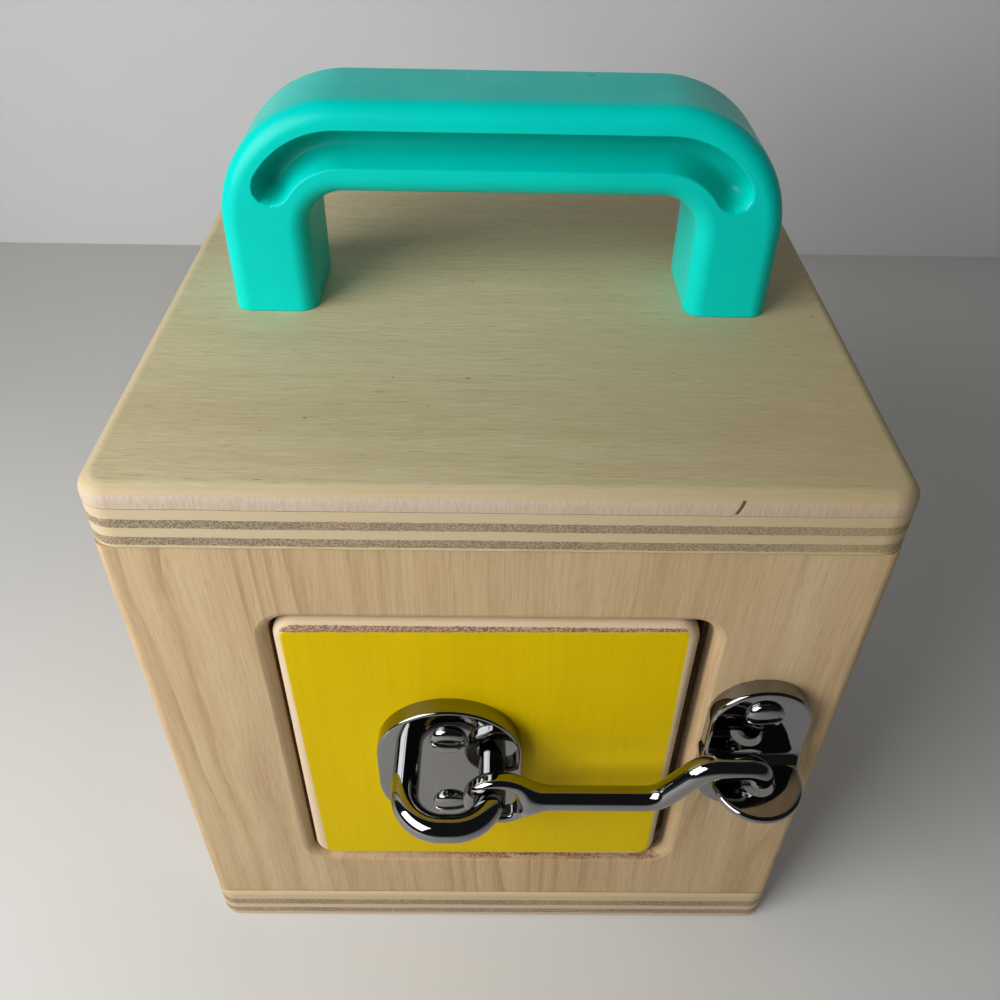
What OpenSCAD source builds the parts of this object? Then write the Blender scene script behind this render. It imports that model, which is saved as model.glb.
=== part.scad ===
// Wooden lock box: a plywood case with a carrying handle and a door that a cabin hook holds shut.
// Millimetres, +Z up. The front faces -Y, and the origin is the middle of the case's underside.

/* [Case] */
// Width over the outer faces of the walls
body_w = 150; // [130:1:180]
// Depth over the outer faces of the walls
body_d = 150; // [130:1:180]
// Height of the walls between base and top
wall_h = 129; // [124:1:160]
// Thickness of every wall
wall_t = 12; // [11:0.5:14]
// Rounding of the upright outer edges of the front and back walls
wall_edge_r = 2.5; // [1:0.5:4]

/* [Base and top] */
// Thickness of the base
base_t = 12.5; // [11:0.5:18]
// How far the base stands out past the walls
base_over = 0.75; // [0:0.25:4]
// Radius of the base's plan corners
base_corner_r = 5; // [3:0.5:10]
// Rounding of the base's long edges
base_edge_r = 1.2; // [0.5:0.1:2]
// Thickness of the top
top_t = 14; // [12:0.5:20]
// How far the top stands out past the walls
top_over = 0.75; // [0:0.25:6]
// Radius of the top's plan corners
top_corner_r = 6; // [5:0.5:12]
// Rounding of the top's upper edge
top_edge_r = 3; // [1.5:0.5:4]
// Rounding of the top's lower edge
top_under_r = 0.8; // [0.5:0.1:1.5]

/* [Doorway and door] */
// Clear width of the doorway
opening_w = 90.5; // [84:0.5:96]
// Clear height of the doorway
opening_h = 90.5; // [84:0.5:94]
// Sideways place of the doorway's middle
opening_shift = -1.45; // [-4:0.05:4]
// Height of the doorway's lower edge above the base
opening_lift = 18.7; // [14:0.1:22]
// Radius of the doorway's corners
opening_r = 5; // [4:0.5:6]
// Softening of the doorway's front edge
opening_edge = 2.2; // [1:0.1:3]
// Gap beside the door at its hinge edge
hinge_gap = 0.95; // [0.9:0.05:1.5]
// Gap beside the door at its free edge
latch_gap = 2.8; // [1.5:0.1:4]
// Gap above and below the door
rim_gap = 0.6; // [0.5:0.05:1]
// Rounding of the door's front edges
door_edge_r = 2.3; // [2:0.1:3]
// Radius of the door's corners
door_corner_r = 5; // [4:0.5:8]
// Clearance between the shut door and its stop
stop_clearance = 0.2; // [0.1:0.05:0.5]
// Width of the door stop
stop_w = 16; // [12:1:20]
// Height of the door stop
stop_h = 40; // [20:1:60]
// Thickness of the door stop
stop_t = 8; // [5:0.5:12]
// How far the stop reaches behind the door
stop_lap = 4.5; // [3:0.5:6]

/* [Door pivots] */
// Distance of the pivot from the door's hinge edge
pivot_inset = 5; // [4.8:0.1:6]
// Distance of the pivot behind the door's face
pivot_depth = 4; // [3.5:0.1:4.2]
// Diameter of the pivot pins
pivot_pin_d = 3; // [2:0.5:4]
// Length of pivot pin inside the door
pivot_pin_reach = 11; // [8:1:14]
// Running clearance round a pivot pin
pivot_clearance = 0.06; // [0.03:0.01:0.1]

/* [Handle] */
// Distance from the walls' outer faces to the handle's legs
handle_inset = 15.5; // [13.5:0.5:20]
// Height of the handle above the top
handle_h = 45; // [40:1:55]
// Depth of the handle, front to back
handle_d = 26.4; // [24:0.2:32]
// Width of the handle's band, measured in its arch
handle_band = 18.4; // [16:0.2:20]
// Outer radius of the arch's corners
handle_bend_r = 26.5; // [24:0.5:30]
// Rounding of the handle's edges
handle_edge_r = 4; // [2:0.5:5]
// Half the width of the finger groove
groove_r = 3.4; // [2:0.1:4]
// Depth of the finger groove
groove_depth = 4.8; // [4.5:0.1:7]
// Softening of the groove's lips
groove_lip = 1; // [0.6:0.1:2]
// Angle that the groove follows round each corner
groove_turn = 58; // [30:1:75]
// Diameter of the handle's fixing screws
handle_screw_d = 5; // [4:0.5:6]
// Diameter of the threaded inserts
insert_d = 8; // [7:0.5:10]
// Length of the threaded inserts
insert_len = 14; // [10:1:16]
// Length of screw inside an insert
handle_screw_bite = 11; // [8:1:13]
// Diameter of the washers under the handle's screws
handle_washer_d = 13; // [11:0.5:16]
// Thickness of those washers
handle_washer_t = 1.2; // [0.8:0.1:2]

/* [Cabin hook plates] */
// Thickness of both plates
plate_t = 4; // [3:0.1:4.5]
// Rounding of the plates' front edge
plate_edge_r = 0.6; // [0.3:0.1:1]
// Width of the plate on the door
staple_plate_w = 32.3; // [31:0.1:36]
// Height of the plate on the door
staple_plate_h = 43; // [39:0.5:46]
// Sideways place of that plate from the doorway's middle
staple_plate_dx = -9.05; // [-12:0.05:-6]
// Height of that plate above the doorway's middle
staple_plate_dz = -0.4; // [-4:0.1:4]
// Distance between its screws
staple_screw_pitch = 24.6; // [24:0.1:28]
// Width of the plate on the front wall
keeper_plate_w = 21.7; // [21:0.1:25]
// Height of the plate on the front wall
keeper_plate_h = 42; // [40:0.5:48]
// Distance of that plate's middle from the doorway's edge
keeper_offset = 12.9; // [12.7:0.1:15]
// Height of that plate above the doorway's middle
keeper_rise = 7.5; // [6:0.1:10]
// Distance between its screws
keeper_screw_pitch = 28; // [27:0.5:32]
// Diameter of the plate screws' shanks
plate_screw_d = 4; // [3:0.5:4]
// Diameter of their round heads
plate_head_d = 8; // [7:0.5:8.5]
// Height of their round heads
plate_head_h = 2.5; // [2:0.1:2.8]
// Length of the plate screws under the head
plate_screw_len = 12.5; // [10:0.5:14]

/* [Staple, lug and hook] */
// Diameter of the staple's rod
staple_rod_d = 6.2; // [5.4:0.1:6.2]
// Distance between the staple's legs
staple_span = 19.2; // [18:0.1:22]
// Distance from the door to the middle of the staple's front
staple_reach = 18.7; // [18:0.1:22]
// Bend radius of the staple
staple_bend_r = 8.5; // [6:0.1:8.8]
// Height of the staple above the middle of its plate
staple_lift = 1; // [0:0.1:2]
// Diameter of the staple's tenons in the plate
tenon_d = 4; // [3:0.1:4.6]
// Width of the keeper's lug
lug_w = 19.7; // [17:0.1:21]
// Thickness of the keeper's lug
lug_t = 2; // [1.8:0.1:4]
// How far the lug's top lies below the middle of its plate
lug_drop = 1.2; // [0:0.1:3]
// Wall of the lug in front of its hole
lug_wall = 5.5; // [4:0.1:8]
// How far the tip moves sideways as it drops into the lug
tip_drift = 0.15; // [0:0.05:0.3]
// Clearance round the hook's tip in the lug
tip_clearance = 1.4; // [1:0.05:1.5]
// Distance from the door to the hook's centre line
hook_stand = 10.4; // [10:0.1:10.8]
// Diameter of the hook's bar
hook_bar_d = 5.6; // [5:0.1:5.8]
// Diameter of the hook's tip
hook_tip_d = 4.8; // [4:0.1:5]
// Inner radius of the eye
eye_hole_r = 5.2; // [5.15:0.05:5.6]
// Width of the eye's rim
eye_rim = 2.8; // [2.4:0.1:3.4]
// Thickness of the eye
eye_t = 4.1; // [3.6:0.1:4.4]
// Slack of the eye on the staple along the bar
eye_slack = 1.55; // [1:0.05:1.6]
// Slack of the eye on the staple below its leg
eye_sag = 1.2; // [0.5:0.05:1.25]
// Bend radius of the hook's crank
crank_r = 6.2; // [4:0.1:6.5]
// Angle of the hook's crank
crank_angle = 55; // [45:1:60]
// Distance from the crank's middle to the tip
crank_to_tip = 16.5; // [15.5:0.1:20]
// Bend radius above the hook's tip
tip_bend_r = 4.2; // [3.5:0.1:5]
// How far the hook's end run stands above the lug
run_lift = 2.7; // [2.5:0.1:4]
// How far the tip's end stands above the lug
tip_lift = 0.35; // [0.3:0.05:0.6]

/* [Joinery] */
// Diameter of the dowels
dowel_d = 6; // [5:0.5:8]
// Dowel depth in the front and back walls
dowel_wall_depth = 8; // [6:0.5:9]
// Dowel depth in the side walls' ends
dowel_end_depth = 14; // [10:1:20]
// Dowel depth in the top
dowel_top_depth = 8; // [6:0.5:10]
// Dowel depth in the walls' upper edges
dowel_edge_depth = 12; // [10:1:14]
// Distance from the ends to the outer dowels and base screws of the front and back
corner_inset = 17; // [16:0.5:20]
// Distance from the middle to the dowels and base screws of the side walls
side_pitch = 35; // [25:1:45]
// Height of the lowest wall dowel above the base
dowel_lift = 24; // [20:1:30]
// Diameter of the base screws
base_screw_d = 4; // [3.5:0.5:5]
// Length of the base screws
base_screw_len = 34; // [28:1:40]
// Diameter of the base screws' countersunk heads
base_head_d = 8; // [7:0.5:9]
// How deep those heads are sunk below the underside
base_head_sink = 0.5; // [0.3:0.1:1]

/* [Hidden] */
$fn = 64;

// Reach past a surface, so that a cut leaves no skin
past = 1;
// How far a softened edge's arc lies from a tangent one, which keeps its ends crisp
soft_shift = 1.25;
soft_r = sqrt(pow(soft_shift, 2) + pow(soft_shift - 1, 2));
// Size of the square that such an arc is cut from, beside the softening itself
soft_blank = 1.1;
// How far one length of a bent bar or groove stands out past the next, which welds them together
weld = 0.02;
// How far the groove's straight length is cut into its bends
weld_lap = 0.3;

// Case levels and faces
walls_z = base_t;
top_z = base_t + wall_h;
lid_z = top_z + top_t;
front_y = -body_d / 2;
inner_front_y = front_y + wall_t;
side_x = body_w / 2 - wall_t / 2;
front_wall_y = front_y + wall_t / 2;
side_len = body_d - 2 * wall_t;

// Doorway and door
opening_z = walls_z + opening_lift;
opening_mid_z = opening_z + opening_h / 2;
opening_left = opening_shift - opening_w / 2;
opening_right = opening_shift + opening_w / 2;
door_w = opening_w - hinge_gap - latch_gap;
door_h = opening_h - 2 * rim_gap;
door_t = wall_t - stop_clearance;
door_left = opening_left + hinge_gap;
door_right = door_left + door_w;
door_z = opening_z + rim_gap;
pivot_x = door_left + pivot_inset;
pivot_y = front_y + pivot_depth;
pivot_bore_d = pivot_pin_d + 2 * pivot_clearance;

// Handle
handle_w = body_w - 2 * handle_inset;
handle_mid_r = handle_bend_r - handle_band / 2;
handle_bar = handle_w - 2 * handle_bend_r;
handle_leg_x = handle_bar / 2 + handle_mid_r;
handle_leg_h = handle_h - handle_bend_r;
handle_bend_z = lid_z + handle_leg_h;
handle_screw_head_r = handle_screw_d * 0.95;
handle_screw_head_h = handle_screw_d * 0.6;

// Hook plates
staple_x = opening_shift + staple_plate_dx;
staple_z = opening_mid_z + staple_plate_dz;
keeper_x = opening_right + keeper_offset;
keeper_z = opening_mid_z + keeper_rise;
plate_face_y = front_y - plate_t;
lug_top_z = keeper_z - lug_drop;

// Hook
hook_y = front_y - hook_stand;
hook_pivot_x = staple_x + staple_span / 2;
hook_pivot_z = staple_z + staple_lift;
eye_x = hook_pivot_x + eye_slack;
eye_z = hook_pivot_z - eye_sag;
eye_mid_r = eye_hole_r + eye_rim / 2;
bar_r = hook_bar_d / 2;
neck_r = eye_rim * 1.5;
neck_end_r = bar_r * 0.95;
neck_len = eye_rim * 1.9;
neck_t = eye_t * 0.9;
bar_x = eye_x + eye_hole_r + bar_r + eye_rim / 8;
run_z = lug_top_z + run_lift + bar_r;
crank_rise = run_z - eye_z;
crank_leg = (crank_rise - 2 * crank_r * (1 - cos(crank_angle))) / sin(crank_angle);
crank_run = 2 * crank_r * sin(crank_angle) + crank_leg * cos(crank_angle);
crank_start_x = keeper_x - crank_to_tip - crank_run / 2;
crank_end_x = crank_start_x + crank_run;
tip_hole_d = hook_tip_d + 2 * tip_clearance;
lug_front_y = hook_y - tip_hole_d / 2 - lug_wall;

// Joinery
corner_x = body_w / 2 - corner_inset;
dowel_spread = wall_h - 2 * dowel_lift;

// A rectangle with its upper and lower corners rounded, standing on the X axis
module edge_profile(width, height, upper_r, lower_r) {
    translate([-width / 2, lower_r])
        square([width, height - upper_r - lower_r]);
    translate([-width / 2 + upper_r, height / 2])
        square([width - 2 * upper_r, height / 2]);
    translate([-width / 2 + lower_r, 0])
        square([width - 2 * lower_r, height / 2]);
    for (side = [-1, 1]) {
        translate([side * (width / 2 - upper_r), height - upper_r])
            circle(upper_r);
        translate([side * (width / 2 - lower_r), lower_r])
            circle(lower_r);
    }
}

// A slab with rounded plan corners and rounded long edges, standing on the XY plane
module rounded_slab(width, depth, thick, corner_r, upper_r, lower_r) {
    translate([-width / 2 + corner_r, 0, 0])
        rotate([90, 0, 90])
            linear_extrude(width - 2 * corner_r)
                edge_profile(depth, thick, upper_r, lower_r);
    translate([0, depth / 2 - corner_r, 0])
        rotate([90, 0, 0])
            linear_extrude(depth - 2 * corner_r)
                edge_profile(width, thick, upper_r, lower_r);
    for (x = [-1, 1], y = [-1, 1])
        translate([x * (width / 2 - corner_r), y * (depth / 2 - corner_r), 0])
            rounded_puck(corner_r, thick, upper_r, lower_r);
}

// A disc with rounded rims, standing on the XY plane
module rounded_puck(radius, thick, upper_r, lower_r) {
    rotate_extrude()
        intersection() {
            edge_profile(2 * radius, thick, upper_r, lower_r);
            square([radius, thick]);
        }
}

// A round-ended plate with a softened upper rim, standing on the XY plane, long in Y
module round_ended_plate(width, height, thick, edge_r) {
    straight = height - width;
    translate([0, straight / 2, 0])
        rotate([90, 0, 0])
            linear_extrude(straight)
                plate_profile(width, thick, edge_r);
    for (end = [-1, 1])
        translate([0, end * straight / 2, 0])
            rotate_extrude()
                intersection() {
                    plate_profile(width, thick, edge_r);
                    square([width / 2, thick]);
                }
}

// Cross-section of a plate: square below, rounded above
module plate_profile(width, thick, edge_r) {
    translate([-width / 2, 0])
        square([width, thick - edge_r]);
    translate([-width / 2 + edge_r, thick / 2])
        square([width - 2 * edge_r, thick / 2]);
    for (side = [-1, 1])
        translate([side * (width / 2 - edge_r), thick - edge_r])
            circle(edge_r);
}

// Rectangle with rounded corners, centred
module rounded_rect(width, height, radius) {
    square([width - 2 * radius, height], center = true);
    square([width, height - 2 * radius], center = true);
    for (x = [-1, 1], y = [-1, 1])
        translate([x * (width / 2 - radius), y * (height / 2 - radius)])
            circle(radius);
}

// What an edge loses when it is softened: the corner at the origin, cut by a wide arc, with a lap into the open
module soft_corner(size, lap = 0) {
    difference() {
        translate([-lap, -lap])
            square(soft_blank * size + lap);
        translate([soft_shift * size, soft_shift * size])
            circle(soft_r * size);
    }
}

// The ring cut round a rounded rectangular hole to soften its edge, in the plane Z = 0 and above
module soft_rim(width, height, radius, size) {
    for (turn = [0, 180]) {
        rotate([0, 0, turn])
            translate([-width / 2 + radius, height / 2, 0])
                rotate([90, 0, 90])
                    linear_extrude(width - 2 * radius)
                        soft_corner(size, past);
        rotate([0, 0, turn])
            translate([width / 2, height / 2 - radius, 0])
                rotate([90, 0, 0])
                    linear_extrude(height - 2 * radius)
                        soft_corner(size, past);
    }
    for (x = [0, 1], y = [0, 1])
        mirror([x, 0, 0])
            mirror([0, y, 0])
                translate([width / 2 - radius, height / 2 - radius, 0])
                    rotate_extrude(angle = 90)
                        translate([radius, 0])
                            soft_corner(size, past);
}

// Turns a shape drawn flat, with Y up, to stand in the front of the case: its Z points out to the front
module to_front(x, y, z) {
    translate([x, y, z])
        rotate([90, 0, 0])
            children();
}

// A round-head screw with a slot, its head on the XY plane and its shank below
module slotted_screw(head_d, head_h, shank_d, length) {
    dome_r = (pow(head_d / 2, 2) + pow(head_h, 2)) / (2 * head_h);
    slot_w = head_d / 8;
    slot_depth = head_h / 2;
    point = shank_d;
    difference() {
        intersection() {
            translate([0, 0, head_h - dome_r])
                sphere(dome_r);
            cylinder(d = head_d, h = head_h);
        }
        translate([-head_d, -slot_w / 2, head_h - slot_depth])
            cube([2 * head_d, slot_w, head_h]);
    }
    translate([0, 0, point - length])
        cylinder(d = shank_d, h = length - point);
    translate([0, 0, -length])
        cylinder(d1 = shank_d / 5, d2 = shank_d, h = point);
}

// Places of the upright dowels in the walls' upper edges, and of the base screws
module at_wall_edges() {
    for (x = [-1, 1], y = [-1, 1])
        translate([x * corner_x, -y * front_wall_y, 0])
            children();
    for (x = [-1, 1], y = [-1, 1])
        translate([x * side_x, y * side_pitch, 0])
            children();
}

// Places of the dowels between the side walls and the front and back, lying along Y towards the middle
module at_wall_joints() {
    for (x = [-1, 1], turn = [0, 180], share = [0, 0.5, 1])
        rotate([0, 0, turn])
            translate([x * side_x, inner_front_y, walls_z + dowel_lift + share * dowel_spread])
                children();
}

module wall_dowel() {
    translate([0, -dowel_wall_depth, 0])
        rotate([-90, 0, 0])
            cylinder(d = dowel_d, h = dowel_wall_depth + dowel_end_depth);
}

module top_dowel() {
    translate([0, 0, top_z - dowel_edge_depth])
        cylinder(d = dowel_d, h = dowel_edge_depth + dowel_top_depth);
}

module base_screw() {
    head_h = (base_head_d - base_screw_d) / 2;
    point = base_screw_d;
    translate([0, 0, base_head_sink]) {
        cylinder(d1 = base_head_d, d2 = base_screw_d, h = head_h);
        translate([0, 0, head_h])
            cylinder(d = base_screw_d, h = base_screw_len - head_h - point);
        translate([0, 0, base_screw_len - point])
            cylinder(d1 = base_screw_d, d2 = base_screw_d / 5, h = point);
    }
}

// Cuts that the base screws leave in the base, with the sunk mouths
module base_screw_hole() {
    base_screw();
    translate([0, 0, -past])
        cylinder(d = base_head_d, h = base_head_sink + past);
}

module pivot_bores(diameter, low, high) {
    translate([pivot_x, pivot_y, low])
        cylinder(d = diameter, h = high - low);
}

// Plan outline of the front and back walls, with their outer upright edges rounded
module wall_plan() {
    translate([-body_w / 2, -wall_t / 2 + wall_edge_r])
        square([body_w, wall_t - wall_edge_r]);
    translate([-body_w / 2 + wall_edge_r, -wall_t / 2])
        square([body_w - 2 * wall_edge_r, wall_t / 2]);
    for (side = [-1, 1])
        translate([side * (body_w / 2 - wall_edge_r), -wall_t / 2 + wall_edge_r])
            circle(wall_edge_r);
}

module end_wall() {
    translate([0, front_wall_y, walls_z])
        linear_extrude(wall_h)
            wall_plan();
}

// Screws of one hook plate, standing on its face
module plate_screws(x, z, pitch) {
    for (end = [-1, 1])
        to_front(x, plate_face_y, z + end * pitch / 2)
            slotted_screw(plate_head_d, plate_head_h, plate_screw_d, plate_screw_len);
}

// Section of the handle's band, with X pointing out of the arch
module band_section() {
    rounded_rect(handle_band, handle_d, handle_edge_r);
}

// Section of the finger groove in the band's back
module groove_section(radius, depth) {
    floor_y = handle_d / 2 - depth + radius;
    translate([-radius, floor_y])
        square([2 * radius, handle_d / 2 - floor_y + past]);
    translate([0, floor_y])
        circle(radius);
    for (side = [0, 1])
        mirror([side, 0])
            translate([radius, handle_d / 2])
                mirror([0, 1])
                    soft_corner(groove_lip);
}

// One end of the finger groove, turned about its own middle
module groove_end() {
    rotate_extrude()
        intersection() {
            groove_section(groove_r + weld, groove_depth + weld);
            translate([0, -handle_d])
                square([2 * groove_r + groove_lip, 2 * handle_d]);
        }
}

// The finger groove in the handle's back, along the bar and into both corners
module handle_groove() {
    translate([handle_bar / 2 + weld_lap, 0, handle_bend_z + handle_mid_r])
        rotate([0, -90, 0])
            linear_extrude(handle_bar + 2 * weld_lap)
                groove_section(groove_r + weld, groove_depth + weld);
    for (side = [0, 1])
        mirror([side, 0, 0])
            translate([handle_bar / 2, 0, handle_bend_z])
                rotate([-90, -90, 0]) {
                    rotate_extrude(angle = groove_turn)
                        translate([handle_mid_r, 0])
                            groove_section(groove_r, groove_depth);
                    rotate([0, 0, groove_turn])
                        translate([handle_mid_r, 0, 0])
                            groove_end();
                }
}

module handle_band_shape() {
    translate([-handle_bar / 2, 0, handle_bend_z + handle_mid_r])
        rotate([0, -90, 180])
            linear_extrude(handle_bar)
                band_section();
    for (side = [0, 1])
        mirror([side, 0, 0]) {
            translate([handle_bar / 2, 0, handle_bend_z])
                rotate([90, 0, 0])
                    rotate_extrude(angle = 90)
                        translate([handle_mid_r, 0])
                            band_section();
            translate([handle_leg_x, 0, lid_z])
                linear_extrude(handle_leg_h)
                    band_section();
        }
}

module at_handle_legs() {
    for (side = [-1, 1])
        translate([side * handle_leg_x, 0, 0])
            children();
}

module base_panel() {
    color("burlywood")
        difference() {
            rounded_slab(body_w + 2 * base_over, body_d + 2 * base_over, base_t,
                base_corner_r, base_edge_r, base_edge_r);
            at_wall_edges()
                base_screw_hole();
        }
}

module front_panel() {
    color("burlywood")
        difference() {
            end_wall();
            to_front(opening_shift, inner_front_y + past, opening_mid_z)
                linear_extrude(wall_t + 2 * past)
                    rounded_rect(opening_w, opening_h, opening_r);
            translate([opening_shift, front_y, opening_mid_z])
                rotate([-90, 0, 0])
                    soft_rim(opening_w, opening_h, opening_r, opening_edge);
            pivot_bores(pivot_bore_d, walls_z - past, opening_z + past);
            pivot_bores(pivot_bore_d, opening_z + opening_h - past, top_z + past);
            at_wall_joints()
                wall_dowel();
            at_wall_edges()
                top_dowel();
            at_wall_edges()
                base_screw();
            plate_screws(keeper_x, keeper_z, keeper_screw_pitch);
        }
}

module back_panel() {
    color("burlywood")
        difference() {
            rotate([0, 0, 180])
                end_wall();
            at_wall_joints()
                wall_dowel();
            at_wall_edges()
                top_dowel();
            at_wall_edges()
                base_screw();
        }
}

module side_panel(side) {
    color("burlywood")
        difference() {
            translate([side * side_x - wall_t / 2, -side_len / 2, walls_z])
                cube([wall_t, side_len, wall_h]);
            at_wall_joints()
                wall_dowel();
            at_wall_edges()
                top_dowel();
            at_wall_edges()
                base_screw();
        }
}

module left_panel() {
    side_panel(-1);
}

module right_panel() {
    side_panel(1);
}

module top_panel() {
    screw_hole_d = handle_screw_d + 0.4;
    color("burlywood")
        difference() {
            translate([0, 0, top_z])
                rounded_slab(body_w + 2 * top_over, body_d + 2 * top_over, top_t,
                    top_corner_r, top_edge_r, top_under_r);
            at_wall_edges()
                top_dowel();
            at_handle_legs()
                translate([0, 0, top_z - past])
                    cylinder(d = screw_hole_d, h = top_t + 2 * past);
        }
}

module wall_dowels() {
    color("tan")
        at_wall_joints()
            wall_dowel();
}

module top_dowels() {
    color("tan")
        at_wall_edges()
            top_dowel();
}

module base_screws() {
    color("silver")
        at_wall_edges()
            base_screw();
}

module door_stop() {
    color("burlywood")
        translate([door_right - stop_lap, inner_front_y, opening_mid_z - stop_h / 2])
            cube([stop_w, stop_t, stop_h]);
}

module handle() {
    color("turquoise")
        difference() {
            handle_band_shape();
            handle_groove();
            rotate([0, 0, 180])
                handle_groove();
            at_handle_legs()
                translate([0, 0, lid_z - past])
                    cylinder(d = insert_d, h = insert_len + past);
        }
}

module handle_inserts() {
    color("goldenrod")
        at_handle_legs()
            translate([0, 0, lid_z])
                difference() {
                    cylinder(d = insert_d, h = insert_len);
                    translate([0, 0, -past])
                        cylinder(d = handle_screw_d, h = insert_len + 2 * past);
                }
}

module handle_screws() {
    shank = handle_washer_t + top_t + handle_screw_bite;
    color("silver")
        at_handle_legs()
            translate([0, 0, top_z - handle_washer_t]) {
                cylinder(d = handle_screw_d, h = shank);
                translate([0, 0, -handle_screw_head_h])
                    difference() {
                        cylinder(r = handle_screw_head_r, h = handle_screw_head_h);
                        translate([0, 0, -past])
                            cylinder(d = handle_screw_d * 0.6, h = handle_screw_head_h / 2 + past, $fn = 6);
                    }
            }
}

module handle_washers() {
    color("silver")
        at_handle_legs()
            translate([0, 0, top_z - handle_washer_t])
                difference() {
                    cylinder(d = handle_washer_d, h = handle_washer_t);
                    translate([0, 0, -past])
                        cylinder(d = handle_screw_d, h = handle_washer_t + 2 * past);
                }
}

module keeper_plate() {
    lug_round_r = lug_w / 2;
    lug_round_y = lug_front_y + lug_round_r;
    color("dimgray")
        difference() {
            union() {
                to_front(keeper_x, front_y, keeper_z)
                    round_ended_plate(keeper_plate_w, keeper_plate_h, plate_t, plate_edge_r);
                translate([keeper_x, lug_round_y, lug_top_z - lug_t])
                    cylinder(r = lug_round_r, h = lug_t);
                translate([keeper_x - lug_round_r, lug_round_y, lug_top_z - lug_t])
                    cube([lug_w, plate_face_y - lug_round_y + plate_t / 2, lug_t]);
            }
            translate([keeper_x + tip_drift, hook_y, lug_top_z - lug_t - past])
                cylinder(d = tip_hole_d, h = lug_t + 2 * past);
            plate_screws(keeper_x, keeper_z, keeper_screw_pitch);
        }
}

module keeper_screws() {
    color("dimgray")
        plate_screws(keeper_x, keeper_z, keeper_screw_pitch);
}

module door_panel() {
    color("gold")
        difference() {
            to_front(door_left + door_w / 2, front_y + door_t, opening_mid_z)
                rounded_slab(door_w, door_h, door_t, door_corner_r, door_edge_r, door_edge_r / 2);
            pivot_bores(pivot_pin_d, door_z - past, door_z + pivot_pin_reach);
            pivot_bores(pivot_pin_d, door_z + door_h - pivot_pin_reach, door_z + door_h + past);
            plate_screws(staple_x, staple_z, staple_screw_pitch);
        }
}

module upper_pivot_pin() {
    color("silver")
        pivot_bores(pivot_pin_d, door_z + door_h - pivot_pin_reach, top_z);
}

module lower_pivot_pin() {
    color("silver")
        pivot_bores(pivot_pin_d, walls_z, door_z + pivot_pin_reach);
}

module at_staple_legs() {
    for (side = [-1, 1])
        translate([staple_x + side * staple_span / 2, front_y, hook_pivot_z])
            rotate([90, 0, 0])
                children();
}

module staple_plate() {
    color("dimgray")
        difference() {
            to_front(staple_x, front_y, staple_z)
                round_ended_plate(staple_plate_w, staple_plate_h, plate_t, plate_edge_r);
            at_staple_legs()
                translate([0, 0, -past])
                    cylinder(d = tenon_d, h = plate_t + 2 * past);
            plate_screws(staple_x, staple_z, staple_screw_pitch);
        }
}

module staple() {
    bend_y = front_y - staple_reach + staple_bend_r;
    bend_x = staple_span / 2 - staple_bend_r;
    leg = staple_reach - staple_bend_r - plate_t;
    color("dimgray") {
        at_staple_legs()
            cylinder(d = tenon_d, h = plate_t);
        at_staple_legs()
            translate([0, 0, plate_t])
                cylinder(d = staple_rod_d, h = leg);
        for (side = [0, 1])
            translate([staple_x, bend_y, hook_pivot_z])
                mirror([side, 0, 0])
                    translate([bend_x, 0, 0])
                        rotate([0, 0, -90])
                            rotate_extrude(angle = 90)
                                translate([staple_bend_r, 0])
                                    circle(d = staple_rod_d);
        translate([staple_x - bend_x, front_y - staple_reach, hook_pivot_z])
            rotate([0, 90, 0])
                cylinder(d = staple_rod_d, h = 2 * bend_x);
    }
}

module staple_screws() {
    color("dimgray")
        plate_screws(staple_x, staple_z, staple_screw_pitch);
}

// Section of the eye's rim, round-edged, with X across the rim
module eye_section() {
    flat = eye_t - eye_rim;
    square([eye_rim, flat], center = true);
    for (side = [-1, 1])
        translate([0, side * flat / 2])
            circle(d = eye_rim);
}

// The hook's closed eye, in the XZ plane
module hook_eye() {
    rotate([90, 0, 0])
        rotate_extrude()
            translate([eye_mid_r, 0])
                eye_section();
}

// The flattened neck between the eye's rim and the bar
module hook_neck() {
    translate([eye_mid_r, 0, 0])
        intersection() {
            rotate([0, 90, 0])
                cylinder(r1 = neck_r, r2 = neck_end_r, h = neck_len);
            translate([-past, -neck_t / 2, -2 * neck_r])
                cube([neck_len + 2 * past, neck_t, 4 * neck_r]);
        }
}

// A bend of the hook's bar in the XZ plane: it starts at the origin along +X and turns upwards
module bar_bend(radius, angle) {
    translate([0, 0, radius])
        rotate([90, 0, 0])
            rotate([0, 0, -90])
                rotate_extrude(angle = angle)
                    translate([radius, 0])
                        circle(d = hook_bar_d);
}

// A straight length of the hook's bar along +X, with a rounded joint at its far end
module bar_length(length) {
    rotate([0, 90, 0])
        cylinder(d = hook_bar_d, h = length);
    translate([length, 0, 0])
        sphere(bar_r + weld);
}

module hook_tip() {
    tip_r = hook_tip_d / 2;
    tip_end_z = lug_top_z + tip_lift;
    tip_len = run_z - tip_bend_r + past - tip_end_z;
    nose = tip_r / 3;
    translate([keeper_x, hook_y, tip_end_z])
        rotate_extrude()
            polygon([
                [0, 0], [tip_r - nose, 0], [tip_r, nose], [tip_r, tip_len], [0, tip_len]
            ]);
}

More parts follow.
